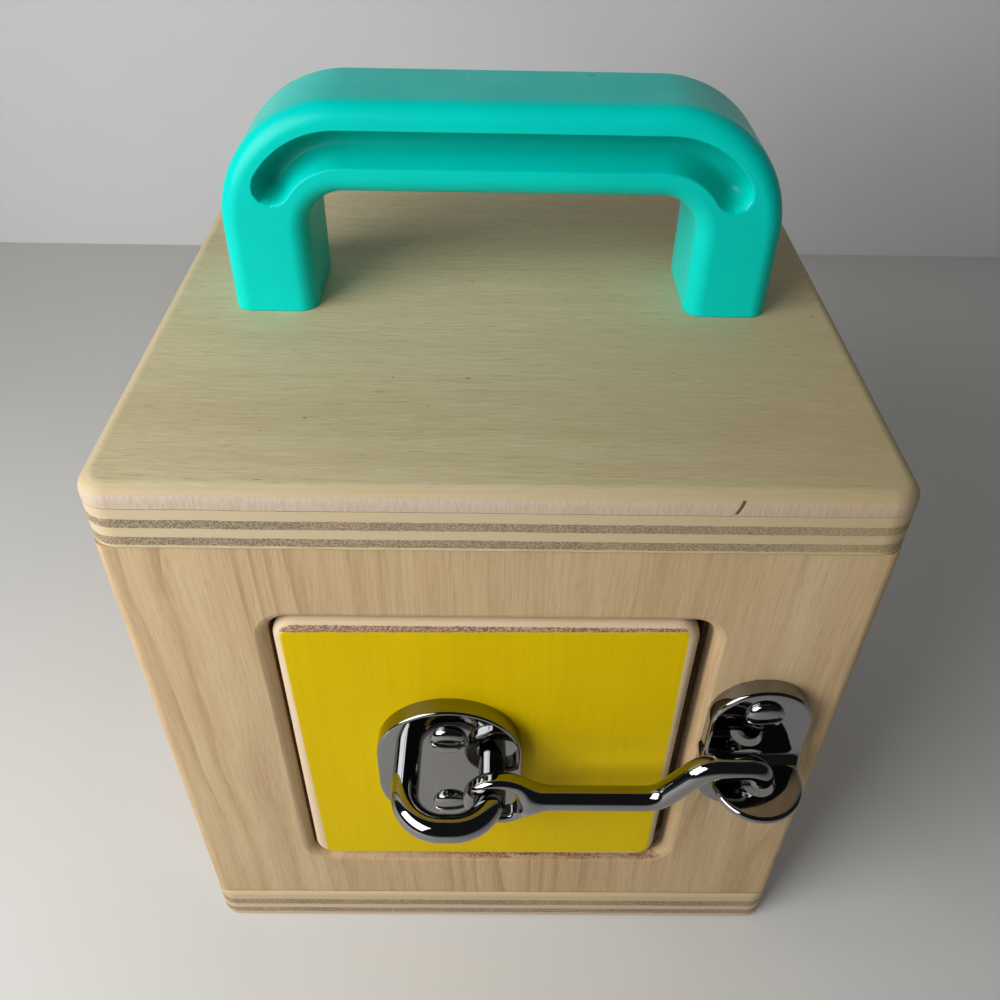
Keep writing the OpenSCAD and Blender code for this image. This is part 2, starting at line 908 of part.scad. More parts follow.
module hook_arm() {
    color("dimgray") {
        translate([eye_x, hook_y, eye_z]) {
            hook_eye();
            hook_neck();
        }
        translate([bar_x, hook_y, eye_z]) {
            sphere(bar_r);
            bar_length(crank_start_x - bar_x);
        }
        translate([crank_start_x, hook_y, eye_z]) {
            bar_bend(crank_r, crank_angle);
            translate([crank_r * sin(crank_angle), 0, crank_r * (1 - cos(crank_angle))]) {
                sphere(bar_r + weld);
                rotate([0, -crank_angle, 0])
                    bar_length(crank_leg);
            }
        }
        translate([crank_end_x, hook_y, run_z]) {
            rotate([0, 180, 0])
                bar_bend(crank_r, crank_angle);
            sphere(bar_r + weld);
            bar_length(keeper_x - tip_bend_r - crank_end_x);
        }
        translate([keeper_x - tip_bend_r, hook_y, run_z])
            mirror([0, 0, 1])
                bar_bend(tip_bend_r, 90);
        hook_tip();
    }
}

base_panel();
front_panel();
back_panel();
left_panel();
right_panel();
top_panel();
wall_dowels();
top_dowels();
base_screws();
door_stop();
handle();
handle_inserts();
handle_screws();
handle_washers();
keeper_plate();
keeper_screws();
door_panel();
upper_pivot_pin();
lower_pivot_pin();
staple_plate();
staple();
staple_screws();
hook_arm();
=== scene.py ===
"""Looks of the wooden lock box toy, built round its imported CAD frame."""

import math

import bpy
import numpy as np
from mathutils import Matrix, Vector


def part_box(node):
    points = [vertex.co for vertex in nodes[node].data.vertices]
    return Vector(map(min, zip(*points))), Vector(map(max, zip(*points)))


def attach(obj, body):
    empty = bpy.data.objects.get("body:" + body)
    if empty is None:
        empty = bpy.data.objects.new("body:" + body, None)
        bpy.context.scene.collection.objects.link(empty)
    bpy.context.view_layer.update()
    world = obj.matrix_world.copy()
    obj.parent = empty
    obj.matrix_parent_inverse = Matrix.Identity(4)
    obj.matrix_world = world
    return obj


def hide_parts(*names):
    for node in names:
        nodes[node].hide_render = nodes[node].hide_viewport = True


MM = 0.001

# Camera, in the photograph's place
CAMERA_AT = Vector((-0.001771, -0.200883, 0.261822))
CAMERA_RIGHT = Vector((0.99984, -0.00334, 0.01783))
CAMERA_UP = Vector((-0.01128, 0.65506, 0.75549))
CAMERA_FORWARD = Vector((0.0142, 0.75557, -0.65492))
LENS_PX = 944.46
IMAGE_PX = 1000.0
PRINCIPAL_PX = (504.78, 504.44)
SENSOR_MM = 36.0
NEAREST_SEEN = 0.01

# Places of the colour sockets on a mix node
MIX_FIRST = 6
MIX_SECOND = 7
MIX_RESULT = 2


def srgb(red, green, blue):
    """A colour of 0 to 255 sRGB steps as linear red, green, blue and alpha."""
    linear = []
    for step in (red, green, blue):
        part = step / 255.0
        linear.append(part / 12.92 if part <= 0.04045 else ((part + 0.055) / 1.055) ** 2.4)
    return (*linear, 1.0)


class Look:
    """One procedural material: makes its nodes, joins them and sets its surface."""

    def __init__(self, name):
        self.material = bpy.data.materials.new(name)
        self.material.use_nodes = True
        self.tree = self.material.node_tree
        self.surface = self.tree.nodes["Principled BSDF"]

    def node(self, kind, **settings):
        """A new node with its settings."""
        made = self.tree.nodes.new(kind)
        for key, value in settings.items():
            setattr(made, key, value)
        return made

    def feed(self, socket, value):
        """Links a socket to another node's socket, or sets it to a constant."""
        if isinstance(value, bpy.types.NodeSocket):
            self.tree.links.new(value, socket)
        else:
            socket.default_value = value

    def set(self, name, value):
        """Feeds one input of the surface."""
        self.feed(self.surface.inputs[name], value)

    def place(self):
        """The point in the object's own frame, in metres."""
        return self.node("ShaderNodeTexCoord").outputs["Object"]

    def parts(self, vector):
        """The three parts of a point or of a colour."""
        split = self.node("ShaderNodeSeparateXYZ")
        self.feed(split.inputs[0], vector)
        return split.outputs[0], split.outputs[1], split.outputs[2]

    def join(self, x, y, z):
        """A point from its three parts."""
        made = self.node("ShaderNodeCombineXYZ")
        for socket, value in zip(made.inputs, (x, y, z)):
            self.feed(socket, value)
        return made.outputs[0]

    def noise(self, place, scales, detail, roughness=0.5, shift=(0.0, 0.0, 0.0)):
        """Noise with so many steps to the metre along each axis, or along all of them alike."""
        spot = self.node("ShaderNodeMapping")
        self.feed(spot.inputs["Vector"], place)
        spot.inputs["Scale"].default_value = scales if np.iterable(scales) else (scales,) * 3
        spot.inputs["Location"].default_value = shift
        made = self.node("ShaderNodeTexNoise")
        self.feed(made.inputs["Vector"], spot.outputs[0])
        made.inputs["Scale"].default_value = 1.0
        made.inputs["Detail"].default_value = detail
        made.inputs["Roughness"].default_value = roughness
        return made.outputs["Fac"]

    def math(self, operation, first, second=0.0, third=0.0):
        """One step of arithmetic."""
        made = self.node("ShaderNodeMath", operation=operation)
        self.feed(made.inputs[0], first)
        self.feed(made.inputs[1], second)
        self.feed(made.inputs[2], third)
        return made.outputs[0]

    def product(self, first, *others):
        """All the values multiplied together."""
        for other in others:
            first = self.math("MULTIPLY", first, other)
        return first

    def diagonal(self, first, second):
        """The straight distance across two distances at right angles."""
        squares = self.math("ADD", self.product(first, first), self.product(second, second))
        return self.math("SQRT", squares)

    def spread(self, value, low, high, to_low=0.0, to_high=1.0):
        """Maps low to high onto to_low to to_high, and holds the ends."""
        made = self.node("ShaderNodeMapRange", clamp=True)
        self.feed(made.inputs["Value"], value)
        made.inputs["From Min"].default_value = low
        made.inputs["From Max"].default_value = high
        made.inputs["To Min"].default_value = to_low
        made.inputs["To Max"].default_value = to_high
        return made.outputs["Result"]

    def mix(self, factor, first, second):
        """The first colour at factor 0, the second at factor 1."""
        made = self.node("ShaderNodeMix", data_type="RGBA")
        self.feed(made.inputs[0], factor)
        self.feed(made.inputs[MIX_FIRST], first)
        self.feed(made.inputs[MIX_SECOND], second)
        return made.outputs[MIX_RESULT]

    def bands(self, value, stops):
        """A colour by value: each stop is where its colour begins."""
        made = self.node("ShaderNodeValToRGB")
        ramp = made.color_ramp
        ramp.interpolation = "CONSTANT"
        while len(ramp.elements) < len(stops):
            ramp.elements.new(1.0)
        for element, (start, colour) in zip(ramp.elements, stops):
            element.position = start
            element.color = colour
        self.feed(made.inputs["Fac"], value)
        return made.outputs["Color"]

    def bump(self, height, distance, strength):
        """Fine relief of the surface."""
        made = self.node("ShaderNodeBump")
        made.inputs["Strength"].default_value = strength
        made.inputs["Distance"].default_value = distance
        self.feed(made.inputs["Height"], height)
        self.set("Normal", made.outputs[0])


# Veneer noise, in steps to the metre along the grain, across it and into it
SWAY_SCALES = (9.0, 22.0, 22.0)
BROAD_SCALES = (4.0, 48.0, 48.0)
RING_SCALES = (1.3, 26.0, 26.0)
STREAK_SCALES = (7.0, 250.0, 250.0)
PORE_SCALES = (230.0, 2600.0, 2600.0)
PATCH_SCALES = (12.0, 16.0, 16.0)
FIBRE_ACROSS = 2600.0
SWAY = 8.0 * MM
RING_COUNT = 15.0
FAINT_RINGS = 0.15
FIBRE_HEIGHT = 0.6
PORE_DEPTH = 0.7

# Fibres: steps to the metre along the grain, and how strongly they show
SHORT_GRAIN = (120.0, 0.36)
LONG_GRAIN = (60.0, 0.26)


def grain_place(look, along, seed):
    """The point turned so that X runs along the grain, with slow waves across it."""
    axes = look.parts(look.place())
    first = "xyz".index(along)
    run = axes[first]
    across = axes[(first + 1) % 3]
    deep = axes[(first + 2) % 3]
    turned = look.join(run, across, deep)
    slow = look.noise(turned, SWAY_SCALES, 2.0, shift=(seed, seed * 1.3, seed * 0.7))
    sway = look.product(look.math("SUBTRACT", slow, 0.5), SWAY)
    return look.join(run, look.math("ADD", across, sway), look.math("ADD", deep, sway))


def veneer(look, along, tones, seed, rings, streaks, grain):
    """Sliced face veneer with its grain along one axis: its colour and its height."""
    fibre_run, fine = grain
    place = grain_place(look, along, seed)
    shift = (seed, seed * 1.7, seed * 2.3)
    broad = look.noise(place, BROAD_SCALES, 3.0, 0.55, shift)
    field = look.noise(place, RING_SCALES, 1.0, 0.4, shift)
    ring = look.math("FRACT", look.product(field, RING_COUNT))
    line = look.product(look.spread(ring, 0.55, 0.98), look.spread(ring, 1.0, 0.97))
    streak = look.noise(place, STREAK_SCALES, 4.0, 0.62, shift)
    fibre = look.noise(place, (fibre_run, FIBRE_ACROSS, FIBRE_ACROSS), 3.0, 0.65, shift)
    pores = look.noise(place, PORE_SCALES, 1.0, 0.5, shift)
    patch = look.noise(place, PATCH_SCALES, 2.0, 0.5, shift)
    colour = look.mix(look.spread(broad, 0.33, 0.68), tones["light"], tones["dark"])
    ringed = look.product(line, look.spread(patch, 0.35, 0.65, FAINT_RINGS * rings, rings))
    colour = look.mix(ringed, colour, tones["ring"])
    colour = look.mix(look.spread(streak, 0.45, 0.72, 0.0, streaks), colour, tones["ring"])
    colour = look.mix(look.spread(fibre, 0.48, 0.68, 0.0, fine), colour, tones["ring"])
    colour = look.mix(look.spread(fibre, 0.5, 0.32, 0.0, fine), colour, tones["shine"])
    marks = look.spread(pores, 0.62, 0.75, 0.0, fine)
    colour = look.mix(marks, colour, tones["fleck"])
    height = look.math("SUBTRACT", look.product(fibre, FIBRE_HEIGHT), look.product(marks, PORE_DEPTH))
    return colour, height


# What each kind of ply shows on its edge: long streaks, short hatching or speckled end grain
LONG = (1.0, 0.0, 0.0, 1.0)
HATCH = (0.0, 1.0, 0.0, 1.0)
END = (0.0, 0.0, 1.0, 1.0)

# Ply edges: how far the glue lines stray, noise in steps to the metre and how much of it shows
WOBBLE = 0.14 * MM
WOBBLE_SCALE = 60.0
RAGGED = 0.05 * MM
RAGGED_SCALE = 900.0
LONG_SCALES = (70.0, 2300.0)
LONG_SHOWS = 0.6
HATCH_SCALES = (1500.0, 330.0)
HATCH_SHOWS = 0.6
PIT_SCALE = 3000.0
PIT_SHOWS = 0.75
GLINT_SCALE = 2600.0
GLINT_SHIFT = (9.0, 4.0, 2.0)
GLINT_SHOWS = 0.6
DRIFT_SCALE = 45.0
DRIFT_SHOWS = 0.25
EDGE_TONES = {
    "streak": srgb(203, 179, 142),
    "hatch": srgb(182, 164, 147),
    "pit": srgb(92, 78, 58),
    "glint": srgb(196, 180, 152),
}


def ply_scales(depth_axis, along_ply, through_ply):
    """Noise scales along the plies and through them."""
    scales = [along_ply] * 3
    scales["xyz".index(depth_axis)] = through_ply
    return scales


def ply_edge(look, depth_axis, outer, inner, layers, seed):
    """Plies by depth below the outer face: their colour and relief, the depth, and where the far skin is."""
    place = look.place()
    thick = abs(inner - outer)
    across = look.parts(place)["xyz".index(depth_axis)]
    depth = look.math("ABSOLUTE", look.math("SUBTRACT", across, outer))
    wobble = look.noise(place, WOBBLE_SCALE, 3.0, shift=(seed, 0.0, seed))
    ragged = look.noise(place, RAGGED_SCALE, 1.0, shift=(seed, 0.0, seed))
    loose = look.math("ADD", depth, look.spread(wobble, 0.25, 0.75, -WOBBLE, WOBBLE))
    loose = look.math("ADD", loose, look.spread(ragged, 0.3, 0.7, -RAGGED, RAGGED))
    share = look.math("DIVIDE", loose, thick)
    layer = look.bands(share, [(start / thick, tone) for start, tone, _ in layers])
    kind = look.bands(share, [(start / thick, mark) for start, _, mark in layers])
    far_skin = look.math("GREATER_THAN", share, layers[-1][0] / thick)
    long_part, hatch_part, end_part = look.parts(kind)
    streak = look.spread(look.noise(place, ply_scales(depth_axis, *LONG_SCALES), 3.0, 0.6), 0.36, 0.72)
    hatch = look.spread(look.noise(place, ply_scales(depth_axis, *HATCH_SCALES), 2.0, 0.6), 0.4, 0.66)
    pit = look.spread(look.noise(place, PIT_SCALE, 1.0, 0.6), 0.44, 0.56)
    glint = look.spread(look.noise(place, GLINT_SCALE, 1.0, shift=GLINT_SHIFT), 0.55, 0.66)
    drift = look.noise(place, DRIFT_SCALE, 2.0, shift=(seed, seed, 0.0))
    edge = look.mix(look.product(streak, long_part, LONG_SHOWS), layer, EDGE_TONES["streak"])
    edge = look.mix(look.product(hatch, hatch_part, HATCH_SHOWS), edge, EDGE_TONES["hatch"])
    edge = look.mix(look.product(pit, end_part, PIT_SHOWS), edge, EDGE_TONES["pit"])
    edge = look.mix(look.product(glint, end_part, GLINT_SHOWS), edge, EDGE_TONES["glint"])
    edge = look.mix(look.spread(drift, 0.35, 0.7, 0.0, DRIFT_SHOWS), edge, EDGE_TONES["streak"])
    relief = look.math("ADD", look.product(pit, end_part), look.product(hatch, hatch_part))
    return edge, relief, depth, far_skin


SKIN_BLUR = 0.22 * MM
WOOD_SPECULAR = 0.3
WOOD_BUMP = 0.05 * MM
WOOD_BUMP_STRENGTH = 0.6


def plywood(name, along, depth_axis, outer, inner, layers, tones, seed, rings, streaks, grain, marked=None):
    """Plywood: veneer on its faces, layered plies on its edges, and any marks and painted shade given to it.
    """
    look = Look(name)
    colour, height = veneer(look, along, tones, seed, rings, streaks, grain)
    edge, relief, depth, far_skin = ply_edge(look, depth_axis, outer, inner, layers, seed)
    skin = layers[1][0]
    inside = look.spread(depth, skin - SKIN_BLUR, skin + SKIN_BLUR)
    inside = look.product(inside, look.math("SUBTRACT", 1.0, far_skin))
    colour = look.mix(inside, colour, edge)
    height = look.mix(inside, height, look.product(relief, -1.0))
    if marked:
        colour, height = marked(look, depth, colour, height)
    look.set("Base Color", colour)
    look.set("Roughness", look.spread(height, -0.3, 0.6, 0.66, 0.5))
    look.set("Specular IOR Level", WOOD_SPECULAR)
    look.bump(height, WOOD_BUMP, WOOD_BUMP_STRENGTH)
    return look.material


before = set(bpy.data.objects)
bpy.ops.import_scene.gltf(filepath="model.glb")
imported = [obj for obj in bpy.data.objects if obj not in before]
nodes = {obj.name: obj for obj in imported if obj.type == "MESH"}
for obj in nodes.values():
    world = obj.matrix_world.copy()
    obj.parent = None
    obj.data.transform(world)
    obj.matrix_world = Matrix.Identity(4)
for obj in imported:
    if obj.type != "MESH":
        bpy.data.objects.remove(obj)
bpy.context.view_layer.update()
scene = bpy.context.scene
scene.view_settings.view_transform = "Standard"

# Camera
camera_data = bpy.data.cameras.new("camera")
camera_data.sensor_width = SENSOR_MM
camera_data.sensor_fit = "HORIZONTAL"
camera_data.lens = LENS_PX / IMAGE_PX * SENSOR_MM
camera_data.shift_x = (IMAGE_PX / 2 - PRINCIPAL_PX[0]) / IMAGE_PX
camera_data.shift_y = (PRINCIPAL_PX[1] - IMAGE_PX / 2) / IMAGE_PX
camera_data.clip_start = NEAREST_SEEN
camera = bpy.data.objects.new("camera", camera_data)
scene.collection.objects.link(camera)
camera_turn = Matrix((CAMERA_RIGHT, CAMERA_UP, -CAMERA_FORWARD)).transposed().to_4x4()
camera.matrix_world = Matrix.Translation(CAMERA_AT) @ camera_turn
scene.camera = camera

# Stage: a plain pale floor and a plain wall behind, in metres
WALL_Y = 0.34
STAGE_X = 2.5
STAGE_FRONT = -3.0
STAGE_TOP = 2.0
FLOOR_TONE = srgb(214, 213, 210)
WALL_TONE = srgb(232, 234, 234)
CLOUD_TONE = srgb(120, 120, 118)
CLOUD_SCALE = 9.0
CLOUD_SHOWS = 0.05
STAGE_ROUGHNESS = 0.8
STAGE_SPECULAR = 0.2


def stage_look(name, tone):
    """Matt paint with faint clouds."""
    look = Look(name)
    cloud = look.noise(look.place(), CLOUD_SCALE, 4.0)
    look.set("Base Color", look.mix(look.spread(cloud, 0.3, 0.7, 0.0, CLOUD_SHOWS), tone, CLOUD_TONE))
    look.set("Roughness", STAGE_ROUGHNESS)
    look.set("Specular IOR Level", STAGE_SPECULAR)
    return look.material


def sheet(name, corners, material):
    """One flat sheet of the stage."""
    mesh = bpy.data.meshes.new(name)
    mesh.from_pydata(corners, [], [tuple(range(len(corners)))])
    mesh.materials.append(material)
    made = bpy.data.objects.new(name, mesh)
    scene.collection.objects.link(made)


sheet("floor", [
    (-STAGE_X, STAGE_FRONT, 0.0),
    (STAGE_X, STAGE_FRONT, 0.0),
    (STAGE_X, WALL_Y, 0.0),
    (-STAGE_X, WALL_Y, 0.0),
], stage_look("floor_paint", FLOOR_TONE))
sheet("wall", [
    (-STAGE_X, WALL_Y, 0.0),
    (STAGE_X, WALL_Y, 0.0),
    (STAGE_X, WALL_Y, STAGE_TOP),
    (-STAGE_X, WALL_Y, STAGE_TOP),
], stage_look("wall_paint", WALL_TONE))

# Light: a window of two panes, front left, in metres
LIGHT_TARGET = Vector((0.0, -0.05, 0.1))
WINDOW_TURN = math.radians(56)
WINDOW_RISE = math.radians(28)
WINDOW_FAR = 0.46
WINDOW_WIDTH = 0.38
WINDOW_STRENGTH = 24.0
LOWER_PANE_LIFT = -0.033
LOWER_PANE_HEIGHT = 0.245
UPPER_PANE_LIFT = 0.143
UPPER_PANE_HEIGHT = 0.066
window_way = Vector((
    -math.sin(WINDOW_TURN) * math.cos(WINDOW_RISE),
    -math.cos(WINDOW_TURN) * math.cos(WINDOW_RISE),
    math.sin(WINDOW_RISE),
))
window_up = Vector((
    math.sin(WINDOW_TURN) * math.sin(WINDOW_RISE),
    math.cos(WINDOW_TURN) * math.sin(WINDOW_RISE),
    math.cos(WINDOW_RISE),
))

# Weak fill for the shaded sides and the far floor: place, width in metres and watts
SIDE_FILL_AT = Vector((1.0, 0.05, 0.75))
SIDE_FILL_WIDE = 0.8
SIDE_FILL_WATTS = 0.9
FAR_FLOOR = Vector((0.0, -1.8, 0.0))
FLOOR_FILL_RISE = Vector((0.0, 0.0, 1.3))
FLOOR_FILL_WIDE = 2.0
FLOOR_FILL_WATTS = 4.5
WORLD_TONE = (0.95, 0.97, 1.0, 1.0)
WORLD_STRENGTH = 0.02


def lamp(name, at, way):
    """An area lamp at a place, facing one way and hidden from the camera."""
    made = bpy.data.objects.new(name, bpy.data.lights.new(name, "AREA"))
    made.location = at
    made.rotation_euler = way.to_track_quat("-Z", "Y").to_euler()
    made.visible_camera = False
    scene.collection.objects.link(made)
    return made


def pane(name, lift, height):
    """One pane of the window, its middle raised in the window's own plane."""
    made = lamp(name, LIGHT_TARGET + window_way * WINDOW_FAR + window_up * lift, -window_way)
    made.data.shape = "RECTANGLE"
    made.data.size = WINDOW_WIDTH
    made.data.size_y = height
    made.data.energy = WINDOW_STRENGTH * WINDOW_WIDTH * height


def fill(name, at, to, wide, watts):
    """A weak wide lamp that isn't mirrored in the metal."""
    made = lamp(name, at, to - at)
    made.data.size = wide
    made.data.energy = watts
    made.visible_glossy = False


pane("lower_pane", LOWER_PANE_LIFT, LOWER_PANE_HEIGHT)
pane("upper_pane", UPPER_PANE_LIFT, UPPER_PANE_HEIGHT)
fill("side_fill", SIDE_FILL_AT, LIGHT_TARGET, SIDE_FILL_WIDE, SIDE_FILL_WATTS)
fill("floor_fill", FAR_FLOOR + FLOOR_FILL_RISE, FAR_FLOOR, FLOOR_FILL_WIDE, FLOOR_FILL_WATTS)

world = bpy.data.worlds.new("world")
scene.world = world
world.use_nodes = True
background = world.node_tree.nodes["Background"]
background.inputs["Color"].default_value = WORLD_TONE
background.inputs["Strength"].default_value = WORLD_STRENGTH

# Wood
LIGHT_PLY = srgb(200, 182, 149)
WARM_PLY = srgb(192, 175, 136)
DARK_PLY = srgb(156, 140, 114)
RED_PLY = srgb(168, 132, 102)
DULL_PLY = srgb(170, 146, 122)
PINK_PLY = srgb(198, 180, 161)
CREAM_PLY = srgb(214, 192, 162)
# Glue between plies, and also the tone of the painted shade in the walls' joint with the base
GLUE_AND_SEAM_SHADE = srgb(128, 104, 76)
SHEET_TONES = {
    "light": srgb(202, 177, 138),
    "dark": srgb(188, 159, 117),
    "ring": srgb(160, 126, 88),
    "shine": srgb(212, 191, 153),
    "fleck": srgb(150, 118, 82),
}
TOP_TONES = {
    "light": srgb(211, 197, 158),
    "dark": srgb(198, 182, 141),
    "ring": srgb(180, 162, 118),
    "shine": srgb(225, 214, 177),
    "fleck": srgb(142, 123, 84),
}
BEECH_TONES = {
    "light": srgb(212, 180, 136),
    "dark": srgb(196, 160, 114),
    "ring": srgb(176, 136, 94),
    "shine": srgb(220, 192, 150),
    "fleck": srgb(142, 104, 70),
}


def plies(rows, tail):
    """Layers by where each begins, its tone and its kind of edge, ended by the far skin."""
    return [(start * MM, tone, mark) for start, tone, mark in rows] + [(tail * MM, LIGHT_PLY, LONG)]


top_low, top_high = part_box("top_panel")
base_low, base_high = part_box("base_panel")
front_low, front_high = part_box("front_panel")
back_low, back_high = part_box("back_panel")
left_low, left_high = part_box("left_panel")
right_low, right_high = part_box("right_panel")
door_low, door_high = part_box("door_panel")

TOP_PLIES = plies([
    (0.0, LIGHT_PLY, LONG), (0.25, WARM_PLY, LONG), (1.4, PINK_PLY, HATCH), (4.2, GLUE_AND_SEAM_SHADE, LONG),
    (4.35, LIGHT_PLY, LONG), (6.7, DARK_PLY, END), (8.7, LIGHT_PLY, LONG), (10.9, DARK_PLY, END),
], 12.9)
BASE_PLIES = plies([
    (0.0, LIGHT_PLY, LONG), (0.25, WARM_PLY, LONG), (3.3, DULL_PLY, END),
    (6.0, LIGHT_PLY, LONG), (8.0, DULL_PLY, END), (10.3, LIGHT_PLY, LONG),
], 12.0)
WALL_PLIES = plies([
    (0.0, LIGHT_PLY, LONG), (2.4, RED_PLY, END), (4.3, LIGHT_PLY, LONG),
    (6.2, DARK_PLY, END), (8.0, LIGHT_PLY, LONG), (9.4, RED_PLY, END),
], 11.0)
DOOR_PLIES = plies([
    (0.0, CREAM_PLY, LONG), (3.4, DARK_PLY, END), (5.6, LIGHT_PLY, LONG), (8.6, RED_PLY, END),
], 10.9)

# Top: painted shade that grows browner to the right, a few specks and a nick in the front edge
RIGHT_SHADE_REACH = 70 * MM
RIGHT_SHADE_SHOWS = 0.45
RIGHT_SHADE_TONE = srgb(182, 157, 113)
DOT_SCALES = (520.0, 700.0, 700.0)
DOT_SHIFT = (6.0, 2.0, 0.0)
DOT_SHOWS = 0.5
DOT_DEEP = SKIN_BLUR / 4
DOT_TONE = srgb(92, 76, 52)
NICK_X = 43.4 * MM
NICK_HALF = 0.22 * MM
NICK_LEAN = 0.45
NICK_FROM = 1.2 * MM
NICK_TO = 3.9 * MM
NICK_TONE = srgb(96, 76, 54)

# Walls: a line of painted shade in the joint where they stand on the base
SEAM_SHADE_HIGH = 0.4 * MM
SEAM_SHADE_SHOWS = 0.6

# Front: a torn lip below the door
LIP_TOP = door_low.z
LIP_LOW = door_low.z - 2.4 * MM
LIP_LOW_BLUR = 0.5 * MM
LIP_SKIN = 0.1 * MM
LIP_SKIN_FULL = 0.5 * MM
LIP_DEEP = 2.3 * MM
LIP_DEEP_BLUR = 0.4 * MM
LIP_FADE = door_low.x + 12 * MM
LIP_FULL = door_low.x + 45 * MM
LIP_SCALES = (130.0, 130.0, 900.0)
LIP_SHIFT = (4.0, 0.0, 1.0)
LIP_THIN = 0.35
TORN_SCALE = 1900.0
TORN_DEPTH = 1.6
TORN_TONE = srgb(112, 76, 52)


def top_marks(look, depth, colour, height):
    """The lid's veneer grows browner to the right as painted shade, carries a few specks and has one nick in
    its edge.
    """
    place = look.place()
    x, y, _ = look.parts(place)
    # Painted shade: browner towards the right, where the light and the sheen fall off
    colour = look.mix(look.spread(x, 0.0, RIGHT_SHADE_REACH, 0.0, RIGHT_SHADE_SHOWS), colour, RIGHT_SHADE_TONE)
    dots = look.spread(look.noise(place, DOT_SCALES, 0.0, shift=DOT_SHIFT), 0.84, 0.87, 0.0, DOT_SHOWS)
    dots = look.product(dots, look.math("LESS_THAN", depth, DOT_DEEP))
    colour = look.mix(dots, colour, DOT_TONE)
    across = look.math("SUBTRACT", x, NICK_X)
    across = look.math("ABSOLUTE", look.math("MULTIPLY_ADD", depth, NICK_LEAN, across))
    nick = look.product(
        look.spread(across, NICK_HALF, NICK_HALF * 2, 1.0, 0.0),
        look.math("GREATER_THAN", depth, NICK_FROM),
        look.math("LESS_THAN", depth, NICK_TO),
        look.math("LESS_THAN", y, 0.0),
    )
    height = look.math("SUBTRACT", height, nick)
    return look.mix(nick, colour, NICK_TONE), height


def wall_seam_shade(look, depth, colour, height):
    """A thin line of painted shade in the joint where a wall stands on the base."""
    z = look.parts(look.place())[2]
    # Painted shade along the joint with the base, in the glue's tone
    seam_shade = look.spread(z, base_high.z + SEAM_SHADE_HIGH / 2, base_high.z + SEAM_SHADE_HIGH, SEAM_SHADE_SHOWS, 0.0)
    return look.mix(seam_shade, colour, GLUE_AND_SEAM_SHADE), height


def front_marks(look, depth, colour, height):
    """Reddish end grain with torn fibres on the lower edge of the doorway, stronger towards the right."""
    colour, height = wall_seam_shade(look, depth, colour, height)
    place = look.place()
    x, _, z = look.parts(place)
    patch = look.noise(place, LIP_SCALES, 2.0, shift=LIP_SHIFT)
    lip = look.product(
        look.math("LESS_THAN", z, LIP_TOP),
        look.spread(z, LIP_LOW - LIP_LOW_BLUR, LIP_LOW),
        look.spread(x, LIP_FADE, LIP_FULL),
        look.spread(patch, 0.38, 0.52, LIP_THIN, 1.0),
        look.spread(depth, LIP_SKIN, LIP_SKIN_FULL),
        look.spread(depth, LIP_DEEP, LIP_DEEP + LIP_DEEP_BLUR, 1.0, 0.0),
    )
    torn = look.spread(look.noise(place, TORN_SCALE, 2.0, 0.6), 0.42, 0.58)
    height = look.math("SUBTRACT", height, look.product(lip, torn, TORN_DEPTH))
    return look.mix(lip, colour, look.mix(torn, RED_PLY, TORN_TONE)), height


def wall_look(name, depth_axis, outer, inner, seed, marked=wall_seam_shade):
    """A wall's plywood, its face veneer upright."""
    return plywood(
        name, "z", depth_axis, outer, inner, WALL_PLIES, SHEET_TONES,
        seed=seed, rings=0.75, streaks=0.35, grain=LONG_GRAIN, marked=marked)


top_look = plywood(
    "top_plywood", "x", "z", top_high.z, top_low.z, TOP_PLIES, TOP_TONES,
    seed=3.0, rings=0.12, streaks=0.3, grain=SHORT_GRAIN, marked=top_marks)
base_look = plywood(
    "base_plywood", "x", "z", base_high.z, base_low.z, BASE_PLIES, SHEET_TONES,
    seed=5.0, rings=0.25, streaks=0.4, grain=LONG_GRAIN)
front_look = wall_look("front_plywood", "y", front_low.y, front_high.y, seed=7.0, marked=front_marks)
back_look = wall_look("back_plywood", "y", back_high.y, back_low.y, seed=11.0)
left_look = wall_look("left_plywood", "x", left_low.x, left_high.x, seed=13.0)
right_look = wall_look("right_plywood", "x", right_high.x, right_low.x, seed=17.0)

# Painted field on the door: its edges, how far it leans and about which height
PAINT_LEFT = -43.4 * MM
PAINT_RIGHT = 38.9 * MM
PAINT_TOP = 118.85 * MM
PAINT_LOW = 33.4 * MM
PAINT_LEAN = 0.013
PAINT_LEAN_Z = 76.4 * MM
PAINT_CORNER = 1.2 * MM
PAINT_DEPTH = 0.3 * MM
PAINT_STRAY = 0.1 * MM
PAINT_STRAY_SCALE = 1500.0
BARE_DEPTH = 0.45 * MM

# Paint: tones and noise in steps to the metre
PAINT_LIGHT = srgb(218, 187, 0)
PAINT_DARK = srgb(212, 180, 0)
PAINT_GRAIN = srgb(188, 156, 0)
PAINT_DUST = srgb(160, 130, 10)
PAINT_GRAIN_SHOWS = 0.16
PAINT_DUST_SHOWS = 0.25
GRAIN_SCALES = (1100.0, 1100.0, 26.0)
GRAIN_SHIFT = (2.0, 0.0, 5.0)
COAT_SCALES = (70.0, 70.0, 12.0)
COAT_SHIFT = (1.0, 0.0, 8.0)
DUST_SCALE = 1600.0
RIM_TONE = srgb(182, 154, 128)
RIM_PIT_TONE = srgb(126, 100, 82)
RIM_SCALE = 2200.0
RIM_SHIFT = (3.0, 0.0, 0.0)
DOOR_SEED = 19.0
DOOR_SPECULAR = 0.04
BARE_ROUGHNESS = 0.6
PAINT_RELIEF = 0.5
FINE_BUMP_STRENGTH = 0.5


def past_straight(look, value, low, high):
    """How far a value lies beyond the straight part of a side of the painted field."""
    past = look.math("ABSOLUTE", look.math("SUBTRACT", value, (low + high) / 2))
    past = look.math("SUBTRACT", past, (high - low) / 2 - PAINT_CORNER)
    return look.math("MAXIMUM", past, 0.0)


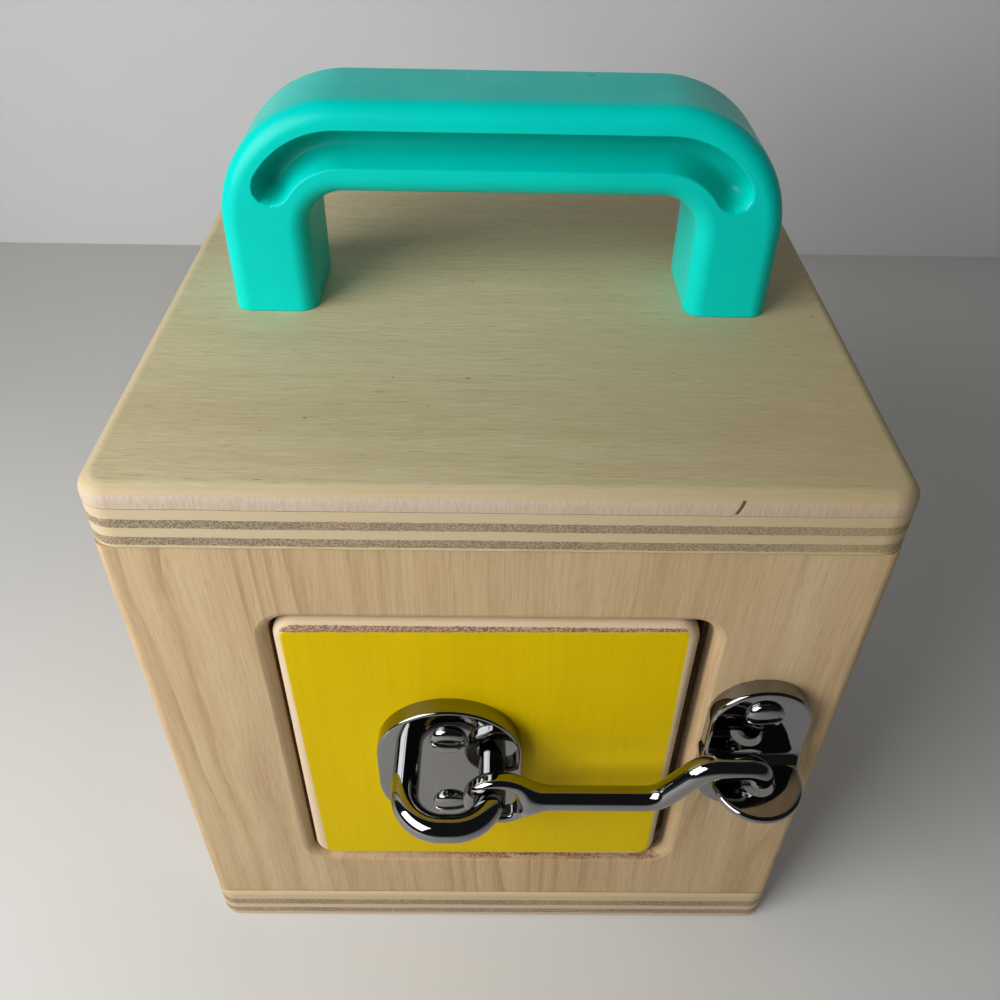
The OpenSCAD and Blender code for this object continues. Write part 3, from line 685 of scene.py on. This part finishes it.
def paint_marks(look, place, depth):
    """Where the paint lies on the door, and where the bare end grain above it shows."""
    x, _, z = look.parts(place)
    leaning_x = look.math("MULTIPLY_ADD", z, PAINT_LEAN, look.math("ADD", x, -PAINT_LEAN_Z * PAINT_LEAN))
    leaning_z = look.math("MULTIPLY_ADD", x, -PAINT_LEAN, z)
    ragged = look.noise(place, PAINT_STRAY_SCALE, 2.0)
    leaning_z = look.math("ADD", leaning_z, look.spread(ragged, 0.3, 0.7, -PAINT_STRAY, PAINT_STRAY))
    past = look.diagonal(
        past_straight(look, leaning_x, PAINT_LEFT, PAINT_RIGHT),
        past_straight(look, leaning_z, PAINT_LOW, PAINT_TOP))
    painted = look.product(
        look.math("LESS_THAN", past, PAINT_CORNER),
        look.math("LESS_THAN", depth, PAINT_DEPTH),
    )
    above = look.product(
        look.math("GREATER_THAN", leaning_z, PAINT_TOP),
        look.math("GREATER_THAN", leaning_x, PAINT_LEFT),
        look.math("LESS_THAN", leaning_x, PAINT_RIGHT),
        look.math("LESS_THAN", depth, look.spread(ragged, 0.3, 0.7, PAINT_DEPTH, BARE_DEPTH)),
    )
    return painted, above


def door_look():
    """Plywood with yellow paint on its front face only, through which the grain shows faintly."""
    look = Look("door_paint")
    bare, bare_height = veneer(look, "z", SHEET_TONES, DOOR_SEED, rings=0.5, streaks=0.6, grain=LONG_GRAIN)
    edge, relief, depth, far_skin = ply_edge(look, "y", door_low.y, door_high.y, DOOR_PLIES, DOOR_SEED)
    place = look.place()
    fibre = look.noise(place, GRAIN_SCALES, 3.0, 0.6, GRAIN_SHIFT)
    coat = look.noise(place, COAT_SCALES, 3.0, shift=COAT_SHIFT)
    dust = look.noise(place, DUST_SCALE, 1.0)
    paint = look.mix(look.spread(coat, 0.3, 0.7), PAINT_LIGHT, PAINT_DARK)
    paint = look.mix(look.spread(fibre, 0.45, 0.7, 0.0, PAINT_GRAIN_SHOWS), paint, PAINT_GRAIN)
    paint = look.mix(look.spread(dust, 0.7, 0.8, 0.0, PAINT_DUST_SHOWS), paint, PAINT_DUST)
    painted, above = paint_marks(look, place, depth)
    pit = look.spread(look.noise(place, RIM_SCALE, 2.0, 0.6, RIM_SHIFT), 0.43, 0.57)
    edge = look.mix(above, edge, look.mix(pit, RIM_TONE, RIM_PIT_TONE))
    wood = look.mix(far_skin, edge, bare)
    look.set("Base Color", look.mix(painted, wood, paint))
    satin = look.spread(fibre, 0.3, 0.7, 0.3, 0.42)
    smoother = look.product(painted, look.math("SUBTRACT", satin, BARE_ROUGHNESS))
    look.set("Roughness", look.math("ADD", BARE_ROUGHNESS, smoother))
    look.set("Specular IOR Level", DOOR_SPECULAR)
    relief = look.math("ADD", relief, look.product(above, pit))
    rough = look.mix(far_skin, look.product(relief, -1.0), bare_height)
    look.bump(look.mix(painted, rough, look.product(fibre, PAINT_RELIEF)), WOOD_BUMP, FINE_BUMP_STRENGTH)
    return look.material


PLAIN_SCALE = 60.0
ROUGHNESS_SPAN = 0.15


def metal_look(name, tone, shade, roughness, bump_scale=900.0, bump_mm=0.01):
    """A plain metal finish with slow changes of tone and a fine surface."""
    look = Look(name)
    place = look.place()
    cloud = look.noise(place, PLAIN_SCALE, 3.0)
    look.set("Base Color", look.mix(look.spread(cloud, 0.3, 0.7), tone, shade))
    look.set("Metallic", 1.0)
    smooth = roughness * (1 - ROUGHNESS_SPAN)
    rough = roughness * (1 + ROUGHNESS_SPAN)
    look.set("Roughness", look.spread(cloud, 0.3, 0.7, smooth, rough))
    look.bump(look.noise(place, bump_scale, 2.0), bump_mm * MM, FINE_BUMP_STRENGTH)
    return look.material


# Handle sizes, in millimetres
handle_low, handle_high = (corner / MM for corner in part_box("handle"))
BAND = 18.4
BAND_EDGE = 4.0
ARCH_OUTER = 26.5
arch_mid = ARCH_OUTER - BAND / 2
leg_x = handle_high.x - BAND / 2
bar_end_x = leg_x - arch_mid
arch_z = handle_high.z - ARCH_OUTER
half_depth = handle_high.y
GROOVE_DEEP = 6.6
GROOVE_UPPER = 3.9
GROOVE_LOWER = 3.5
GROOVE_END = 3.7
GROOVE_TURN = math.radians(56.5)
GROOVE_CRISP = 0.42
GROOVE_SOFT = 0.75
GROOVE_BLEND = 0.6
PATH_STEP = 0.4
SECTION_STEP = 0.22
CORNER_STEPS = 6

# Handle tones, and where the painted shade in the grooves begins below the face and ends beside the groove
TEAL_LIGHT = srgb(0, 209, 196)
TEAL_DARK = srgb(0, 203, 190)
TEAL_GROOVE_SHADE = srgb(0, 142, 128)
GROOVE_SHADE_SHOWS = 0.6
GROOVE_SHADE_START = 1.5
GROOVE_SHADE_ASIDE = 0.5
TEAL_SPECULAR = 0.13
TEAL_BUMP = 0.003 * MM
TEAL_BUMP_SCALE = 700.0


def handle_look():
    """Moulded plastic, darkened by painted shade inside the finger grooves."""
    look = Look("teal_plastic_moulded")
    place = look.place()
    x, y, z = look.parts(place)
    past_bar = look.math("MAXIMUM", look.math("SUBTRACT", look.math("ABSOLUTE", x), bar_end_x * MM), 0.0)
    above = look.math("SUBTRACT", z, arch_z * MM)
    turn_r = look.diagonal(past_bar, above)
    aside = look.math("ABSOLUTE", look.math("SUBTRACT", turn_r, arch_mid * MM))
    half_y = look.math("ABSOLUTE", y)
    # Painted shade: a darker teal inside the grooves, where the upper lip shades them
    groove_shade = look.product(
        look.spread(half_y, (half_depth - GROOVE_SHADE_START) * MM, (half_depth - GROOVE_DEEP) * MM),
        look.math("LESS_THAN", aside, (GROOVE_UPPER + GROOVE_SHADE_ASIDE) * MM),
        look.math("GREATER_THAN", above, 0.0),
    )
    cloud = look.noise(place, PLAIN_SCALE, 3.0)
    colour = look.mix(look.spread(cloud, 0.3, 0.7), TEAL_LIGHT, TEAL_DARK)
    look.set("Base Color", look.mix(look.product(groove_shade, GROOVE_SHADE_SHOWS), colour, TEAL_GROOVE_SHADE))
    look.set("Roughness", look.spread(cloud, 0.3, 0.7, 0.26, 0.34))
    look.set("Specular IOR Level", TEAL_SPECULAR)
    look.bump(look.noise(place, TEAL_BUMP_SCALE, 2.0), TEAL_BUMP, FINE_BUMP_STRENGTH)
    return look.material


def beech_look(name, along):
    """Solid beech, with short dark rays along its grain."""
    look = Look(name)
    colour, height = veneer(look, along, BEECH_TONES, seed=23.0, rings=0.4, streaks=0.5, grain=LONG_GRAIN)
    look.set("Base Color", colour)
    look.set("Roughness", BARE_ROUGHNESS)
    look.bump(height, WOOD_BUMP, WOOD_BUMP_STRENGTH)
    return look.material


teal_look = handle_look()
chrome_look = metal_look(
    "polished_metal_plated", (0.3, 0.3, 0.3, 1.0), (0.27, 0.27, 0.275, 1.0), 0.05,
    bump_scale=260.0, bump_mm=0.002)
zinc_look = metal_look("zinc_steel_plated", (0.55, 0.56, 0.58, 1.0), (0.42, 0.43, 0.45, 1.0), 0.35)
brass_look = metal_look("brass_turned", (0.7, 0.5, 0.2, 1.0), (0.58, 0.4, 0.15, 1.0), 0.3)

LOOKS = {
    "top_panel": top_look,
    "base_panel": base_look,
    "front_panel": front_look,
    "back_panel": back_look,
    "left_panel": left_look,
    "right_panel": right_look,
    "wall_dowels": beech_look("wall_dowel_beech", "y"),
    "top_dowels": beech_look("top_dowel_beech", "z"),
    "door_stop": beech_look("door_stop_beech", "z"),
    "base_screws": zinc_look,
    "handle_screws": zinc_look,
    "handle_washers": zinc_look,
    "upper_pivot_pin": zinc_look,
    "lower_pivot_pin": zinc_look,
    "handle_inserts": brass_look,
    "handle": teal_look,
    "door_panel": door_look(),
    "keeper_plate": chrome_look,
    "keeper_screws": chrome_look,
    "staple_plate": chrome_look,
    "staple": chrome_look,
    "staple_screws": chrome_look,
    "hook_arm": chrome_look,
}
for node_name, material in LOOKS.items():
    nodes[node_name].data.materials.clear()
    nodes[node_name].data.materials.append(material)


def add_piece(name, mesh, body, slot, material, *replaced):
    """Puts a made mesh into the scene, on its body, in place of the CAD nodes that it stands for."""
    mesh.materials.append(material)
    made = bpy.data.objects.new(name, mesh)
    scene.collection.objects.link(made)
    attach(made, body)
    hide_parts(*replaced)


# Handle: one smooth arch with a finger groove in its front and its back
def arch_path():
    """Points along the arch's middle: place, outward direction and distance past the groove's ends."""
    rows = []
    leg = arch_z - handle_low.z
    turn_length = arch_mid * math.pi / 2
    total = 2 * (leg + turn_length + bar_end_x)
    groove_half = bar_end_x + arch_mid * GROOVE_TURN
    count = int(total / PATH_STEP)
    for index in range(count + 1):
        run = total * index / count - total / 2
        side = math.copysign(1.0, run)
        past_end = max(0.0, abs(run) - groove_half)
        past_bar = abs(run) - bar_end_x
        past_turn = past_bar - turn_length
        if past_bar < 0:
            rows.append((run, arch_z + arch_mid, 0.0, 1.0, past_end))
        elif past_turn < 0:
            out_x = side * math.sin(past_bar / arch_mid)
            out_z = math.cos(past_bar / arch_mid)
            x = side * bar_end_x + arch_mid * out_x
            rows.append((x, arch_z + arch_mid * out_z, out_x, out_z, past_end))
        else:
            rows.append((side * leg_x, arch_z - past_turn, side, 0.0, past_end))
    return rows


def band_outline():
    """The band's rounded section as points of outward place and depth, starting on the front face."""
    flat_out = BAND / 2 - BAND_EDGE
    flat_deep = half_depth - BAND_EDGE
    points = []

    def straight(start, end):
        count = max(2, int(math.dist(start, end) / SECTION_STEP))
        for index in range(count):
            share = index / count
            points.append((start[0] + (end[0] - start[0]) * share, start[1] + (end[1] - start[1]) * share))

    def corner(middle, first):
        count = max(CORNER_STEPS, int(BAND_EDGE * math.pi / 2 / SECTION_STEP))
        for index in range(count):
            angle = first + math.pi / 2 * index / count
            points.append((middle[0] + BAND_EDGE * math.cos(angle), middle[1] + BAND_EDGE * math.sin(angle)))

    straight((-flat_out, -half_depth), (flat_out, -half_depth))
    corner((flat_out, -flat_deep), -math.pi / 2)
    straight((BAND / 2, -flat_deep), (BAND / 2, flat_deep))
    corner((flat_out, flat_deep), 0.0)
    straight((flat_out, half_depth), (-flat_out, half_depth))
    corner((-flat_out, flat_deep), math.pi / 2)
    straight((-BAND / 2, flat_deep), (-BAND / 2, -flat_deep))
    corner((-flat_out, -flat_deep), math.pi)
    return points


def groove_depth(out, past_end):
    """How deep the finger groove is at a place across the band: crisp above, soft below."""
    half = GROOVE_UPPER if out > 0 else GROOVE_LOWER
    reach = math.hypot(out / half, past_end / GROOVE_END)
    if reach >= 1.0:
        return 0.0
    crisp = (1.0 - reach ** 2) ** GROOVE_CRISP
    soft = (1.0 - reach ** 2) ** GROOVE_SOFT
    upper = 0.5 + 0.5 * out / math.hypot(out, past_end, GROOVE_BLEND)
    return GROOVE_DEEP * (soft + (crisp - soft) * upper)


def handle_mesh():
    """The section carried along the arch, sunk where the grooves are, with flat feet."""
    path = arch_path()
    outline = band_outline()
    points = []
    for x, z, out_x, out_z, past_end in path:
        for out, deep in outline:
            if abs(deep) > half_depth - BAND_EDGE / 2:
                sunk = groove_depth(out, past_end)
                deep -= math.copysign(sunk, deep)
            points.append(((x + out * out_x) * MM, deep * MM, (z + out * out_z) * MM))
    around = len(outline)
    faces = []
    for row in range(len(path) - 1):
        for column in range(around):
            after = (column + 1) % around
            faces.append((row * around + column, row * around + after,
                          (row + 1) * around + after, (row + 1) * around + column))
    faces.append(tuple(reversed(range(around))))
    faces.append(tuple(range((len(path) - 1) * around, len(path) * around)))
    mesh = bpy.data.meshes.new("handle_arch")
    mesh.from_pydata(points, [], faces)
    mesh.polygons.foreach_set("use_smooth", [True] * (len(faces) - 2) + [False, False])
    mesh.update()
    return mesh


add_piece("handle_arch", handle_mesh(), "case", "teal_plastic", teal_look, "handle")

# Distance fields, in millimetres
SLOPE_REACH = 0.02
SLOPE_LEAST = 1e-9
SNAP_ROUNDS = 4
FIELD_ROOM = 1.0
FAR_INSIDE = -10.0
BEND_STEP_DEG = 6.0


def cell_crossings(values):
    """The crossings of zero on the edges of each grid cell: how many, and the sum of their places in it."""
    size = np.array(values.shape) - 1
    count = np.zeros(size)
    total = np.zeros((*size, 3))

    def block(corner):
        x, y, z = corner
        return values[x:x + size[0], y:y + size[1], z:z + size[2]]

    for first in np.ndindex(2, 2, 2):
        for axis in range(3):
            if first[axis] == 1:
                continue
            second = list(first)
            second[axis] = 1
            start = block(first)
            end = block(second)
            crosses = (start < 0) != (end < 0)
            share = np.where(crosses, start / np.where(crosses, start - end, 1.0), 0.0)
            spot = np.broadcast_to(np.array(first, float), (*size, 3)).copy()
            spot[..., axis] = share
            total += spot * crosses[..., None]
            count += crosses
    return count, total


def cell_faces(values, number):
    """A four-sided face round each grid edge that crosses zero, as the numbers of the cells about it."""
    size = number.shape
    faces = []
    for axis in range(3):
        one = (axis + 1) % 3
        two = (axis + 2) % 3
        start = np.take(values, range(size[axis]), axis=axis)
        end = np.take(values, range(1, size[axis] + 1), axis=axis)
        for edge in np.argwhere((start < 0) != (end < 0)):
            ring = []
            for back_one, back_two in ((0, 0), (1, 0), (1, 1), (0, 1)):
                cell = edge.copy()
                cell[one] -= back_one
                cell[two] -= back_two
                ring.append(int(number[tuple(cell)]))
            if start[tuple(edge)] > 0:
                ring.reverse()
            faces.append(ring)
    return faces


def slope(field, spots):
    """The field's outward direction at each spot."""
    parts = []
    for axis in range(3):
        shift = np.zeros(3)
        shift[axis] = SLOPE_REACH
        parts.append(field(spots + shift) - field(spots - shift))
    normal = np.stack(parts, axis=-1)
    return normal / np.maximum(np.linalg.norm(normal, axis=1), SLOPE_LEAST)[:, None]


def field_mesh(name, field, low, high, step):
    """A closed mesh on the zero level of a distance field, with the field's own normals."""
    axes = [np.arange(start, end + step, step) for start, end in zip(low, high)]
    grid = np.stack(np.meshgrid(*axes, indexing="ij"), axis=-1)
    values = field(grid.reshape(-1, 3)).reshape(grid.shape[:3])
    count, total = cell_crossings(values)
    used = count > 0
    number = np.full(count.shape, -1)
    number[used] = np.arange(used.sum())
    points = np.array(low) + (np.argwhere(used) + total[used] / count[used][:, None]) * step
    for _ in range(SNAP_ROUNDS):
        points = points - slope(field, points) * field(points)[:, None]
    faces = cell_faces(values, number)
    mesh = bpy.data.meshes.new(name)
    mesh.from_pydata((points * MM).tolist(), [], faces)
    mesh.polygons.foreach_set("use_smooth", [True] * len(faces))
    mesh.update()
    mesh.normals_split_custom_set_from_vertices(slope(field, points).tolist())
    return mesh


def field_in_box(name, field, low, high, step):
    """A field's mesh inside a node's box, with some room round it."""
    room_low = [part - FIELD_ROOM for part in low]
    room_high = [part + FIELD_ROOM for part in high]
    return field_mesh(name, field, room_low, room_high, step)


def blend_join(first, second, width):
    """Joins two distance fields with a smooth fillet of about the given width."""
    share = np.clip(0.5 + 0.5 * (second - first) / width, 0.0, 1.0)
    return second + (first - second) * share - width * share * (1.0 - share)


def bent_path(points, radii):
    """A polyline in the XZ plane through the corners, each rounded by its bend radius."""
    route = [points[0]]
    for before, corner, after, radius in zip(points, points[1:], points[2:], radii):
        corner_at = np.array(corner)
        to_before = np.array(before) - corner_at
        to_after = np.array(after) - corner_at
        to_before /= np.linalg.norm(to_before)
        to_after /= np.linalg.norm(to_after)
        half = math.acos(np.clip(to_before.dot(to_after), -1.0, 1.0)) / 2
        middle_way = to_before + to_after
        middle = corner_at + middle_way / np.linalg.norm(middle_way) * radius / math.sin(half)
        start = corner_at + to_before * radius / math.tan(half)
        end = corner_at + to_after * radius / math.tan(half)
        first = start - middle
        last = end - middle
        sweep = math.atan2(first[0] * last[1] - first[1] * last[0], first.dot(last))
        count = max(2, int(abs(math.degrees(sweep)) / BEND_STEP_DEG))
        for index in range(count + 1):
            angle = sweep * index / count
            turned_x = first[0] * math.cos(angle) - first[1] * math.sin(angle)
            turned_z = first[0] * math.sin(angle) + first[1] * math.cos(angle)
            route.append((middle[0] + turned_x, middle[1] + turned_z))
    route.append(points[-1])
    return np.array(route)


def route_distance(spots, route):
    """Distance in the XZ plane from each spot to the route."""
    flat = spots[:, [0, 2]]
    nearest = np.full(len(flat), np.inf)
    for start, end in zip(route, route[1:]):
        way = end - start
        share = np.clip(((flat - start) @ way) / way.dot(way), 0.0, 1.0)
        nearest = np.minimum(nearest, np.linalg.norm(flat - start - share[:, None] * way, axis=1))
    return nearest


def stadium(across, along, half_width, half_straight):
    """Distance in a plane to a round-ended bar."""
    return np.hypot(across, np.maximum(np.abs(along) - half_straight, 0.0)) - half_width


def rounded_slice(outline, deep, half_thick, radius):
    """Distance to a flat piece of the given outline, with its edges rounded."""
    out = np.maximum(outline + radius, 0.0)
    past = np.maximum(np.abs(deep) - half_thick + radius, 0.0)
    inside = np.minimum(np.maximum(outline + radius, np.abs(deep) - half_thick + radius), 0.0)
    return np.hypot(out, past) + inside - radius


# Hook: a forged eye that flares into a cranked bar with a turned-down tip
hook_low, hook_high = (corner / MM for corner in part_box("hook_arm"))
HOOK_STEP = 0.3
BAR_R = 2.8
TIP_R = 2.4
TIP_END_Z = 83.1
TIP_ROUND = 0.8
TIP_NEAR = 6.0
TAPER_DROP = 3.0
TAPER_LENGTH = 3.0
EYE_HOLE = 5.2
EYE_HOLE_LIMIT = 0.3
EYE_RIM = 2.8
EYE_THICK = 4.1
EYE_FLARE = 4.0
CRANK_X = 40.2
CRANK_TAN = math.tan(math.radians(55))
CRANK_BEND = 6.5
TIP_BEND = 4.2
hook_y = (hook_low.y + hook_high.y) / 2
eye_mid = EYE_HOLE + EYE_RIM / 2
eye_x = hook_low.x + EYE_HOLE + EYE_RIM
eye_z = hook_low.z + EYE_HOLE + EYE_RIM
run_z = hook_high.z - BAR_R
tip_x = hook_high.x - TIP_R
crank_half = (run_z - eye_z) / CRANK_TAN / 2
hook_route = bent_path([
    (eye_x + eye_mid, eye_z),
    (CRANK_X - crank_half, eye_z),
    (CRANK_X + crank_half, run_z),
    (tip_x, run_z),
    (tip_x, hook_low.z),
], [CRANK_BEND, CRANK_BEND, TIP_BEND])


def hook_field(spots):
    """Distance to the hook: its bar, thinner at the tip, joined to its eye."""
    x, y, z = spots.T
    aside = y - hook_y
    below = np.clip((run_z - TAPER_DROP - z) / TAPER_LENGTH, 0.0, 1.0)
    beside = np.clip((x - tip_x + TIP_NEAR) / TAPER_LENGTH, 0.0, 1.0)
    bar_r = BAR_R + (TIP_R - BAR_R) * below * beside
    bar = np.hypot(route_distance(spots, hook_route), aside) - bar_r
    from_eye = np.hypot(x - eye_x, z - eye_z)
    flat = (EYE_THICK - EYE_RIM) / 2
    eye = np.hypot(from_eye - eye_mid, np.maximum(np.abs(aside) - flat, 0.0)) - EYE_RIM / 2
    whole = blend_join(bar, eye, EYE_FLARE)
    whole = np.maximum(whole, np.minimum(EYE_HOLE - from_eye, EYE_HOLE_LIMIT))
    cut = np.where(x > tip_x - TIP_NEAR, TIP_END_Z - z, FAR_INSIDE)
    return -blend_join(-whole, -cut, TIP_ROUND)


hook_mesh = field_in_box("hook_bar", hook_field, hook_low, hook_high, HOOK_STEP)
add_piece("hook_bar", hook_mesh, "hook", "polished_metal", chrome_look, "hook_arm")

# Keeper: a plate with a lug that grows out of it in a fillet
keeper_low, keeper_high = (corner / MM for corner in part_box("keeper_plate"))
KEEPER_STEP = 0.35
PLATE_T = 4.0
PLATE_EDGE = 0.8
LUG_HALF = 9.85
LUG_T = 2.0
LUG_EDGE = 0.85
LUG_DROP = 1.2
LUG_FILLET = 3.2
TIP_HOLE = 3.5
TIP_HOLE_ROUND = 0.5
TIP_DRIFT = 0.15
keeper_x = (keeper_low.x + keeper_high.x) / 2
keeper_z = (keeper_low.z + keeper_high.z) / 2
keeper_half = (keeper_high.x - keeper_low.x) / 2
keeper_straight = (keeper_high.z - keeper_low.z) / 2 - keeper_half
plate_face = keeper_high.y - PLATE_T
lug_z = keeper_z - LUG_DROP - LUG_T / 2
lug_round = keeper_low.y + LUG_HALF


def keeper_field(spots):
    """Distance to the keeper: its plate and its lug, drilled for the hook's tip."""
    x, y, z = spots.T
    outline = stadium(x - keeper_x, z - keeper_z, keeper_half, keeper_straight)
    plate = rounded_slice(outline, y - keeper_high.y, PLATE_T, PLATE_EDGE)
    tongue = stadium(x - keeper_x, np.minimum(y - lug_round, 0.0), LUG_HALF, 0.0)
    lug = rounded_slice(tongue, z - lug_z, LUG_T / 2, LUG_EDGE)
    whole = np.maximum(blend_join(plate, lug, LUG_FILLET), y - keeper_high.y)
    hole = TIP_HOLE - np.hypot(x - keeper_x - TIP_DRIFT, y - hook_y)
    hole = np.where(np.abs(z - lug_z) < LUG_T * 2, hole, FAR_INSIDE)
    return -blend_join(-whole, -hole, TIP_HOLE_ROUND)


keeper_mesh = field_in_box("keeper_catch", keeper_field, keeper_low, keeper_high, KEEPER_STEP)
add_piece("keeper_catch", keeper_mesh, "case", "polished_metal", chrome_look, "keeper_plate")

# Plate screws: low round heads with a straight slot
HEAD_STEP = 0.16
HEAD_R = 4.1
HEAD_H = 1.8
HEAD_POWER = 2.6
HEAD_ROOM_LOW = (-4.6, -2.9, -4.6)
HEAD_ROOM_HIGH = (4.6, 0.6, 4.6)
SLOT_HALF = 0.55
SLOT_DEEP = 0.9
SLOT_ROUND = 0.25
NODE_HEAD_R = 4.0
STAPLE_SCREW_TURNS = (3.0, -6.0)
KEEPER_SCREW_TURNS = (-8.0, 20.0)


def head_field(spots):
    """Distance to one slotted head, its foot at the origin and its top towards the front."""
    x, y, z = spots.T
    around = np.hypot(x, z) / HEAD_R
    rise = np.maximum(-y, 0.0) / HEAD_H
    dome = ((around ** HEAD_POWER + rise ** HEAD_POWER) ** (1.0 / HEAD_POWER) - 1.0) * HEAD_H
    dome = np.maximum(dome, y)
    slot = np.maximum(np.abs(z) - SLOT_HALF, HEAD_H - SLOT_DEEP + y)
    return -blend_join(-dome, slot, SLOT_ROUND)


def screw_heads(name, body, turns, node):
    """Both heads of a plate's screws as one piece, each turned as it was driven in."""
    low, high = (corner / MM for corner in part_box(node))
    head = field_mesh(name, head_field, HEAD_ROOM_LOW, HEAD_ROOM_HIGH, HEAD_STEP)
    spots = [vertex.co.copy() for vertex in head.vertices]
    rings = [tuple(polygon.vertices) for polygon in head.polygons]
    points = []
    faces = []
    for head_z, degrees in zip((high.z - NODE_HEAD_R, low.z + NODE_HEAD_R), turns):
        swing = Matrix.Rotation(math.radians(degrees), 3, "Y")
        shift = Vector(((low.x + high.x) / 2, plate_face, head_z)) * MM
        start = len(points)
        points.extend(tuple(swing @ spot + shift) for spot in spots)
        faces.extend(tuple(start + index for index in ring) for ring in rings)
    bpy.data.meshes.remove(head)
    mesh = bpy.data.meshes.new(name)
    mesh.from_pydata(points, [], faces)
    mesh.polygons.foreach_set("use_smooth", [True] * len(faces))
    mesh.update()
    add_piece(name, mesh, body, "polished_metal", chrome_look, node)


screw_heads("staple_screw_heads", "door", STAPLE_SCREW_TURNS, "staple_screws")
screw_heads("keeper_screw_heads", "case", KEEPER_SCREW_TURNS, "keeper_screws")
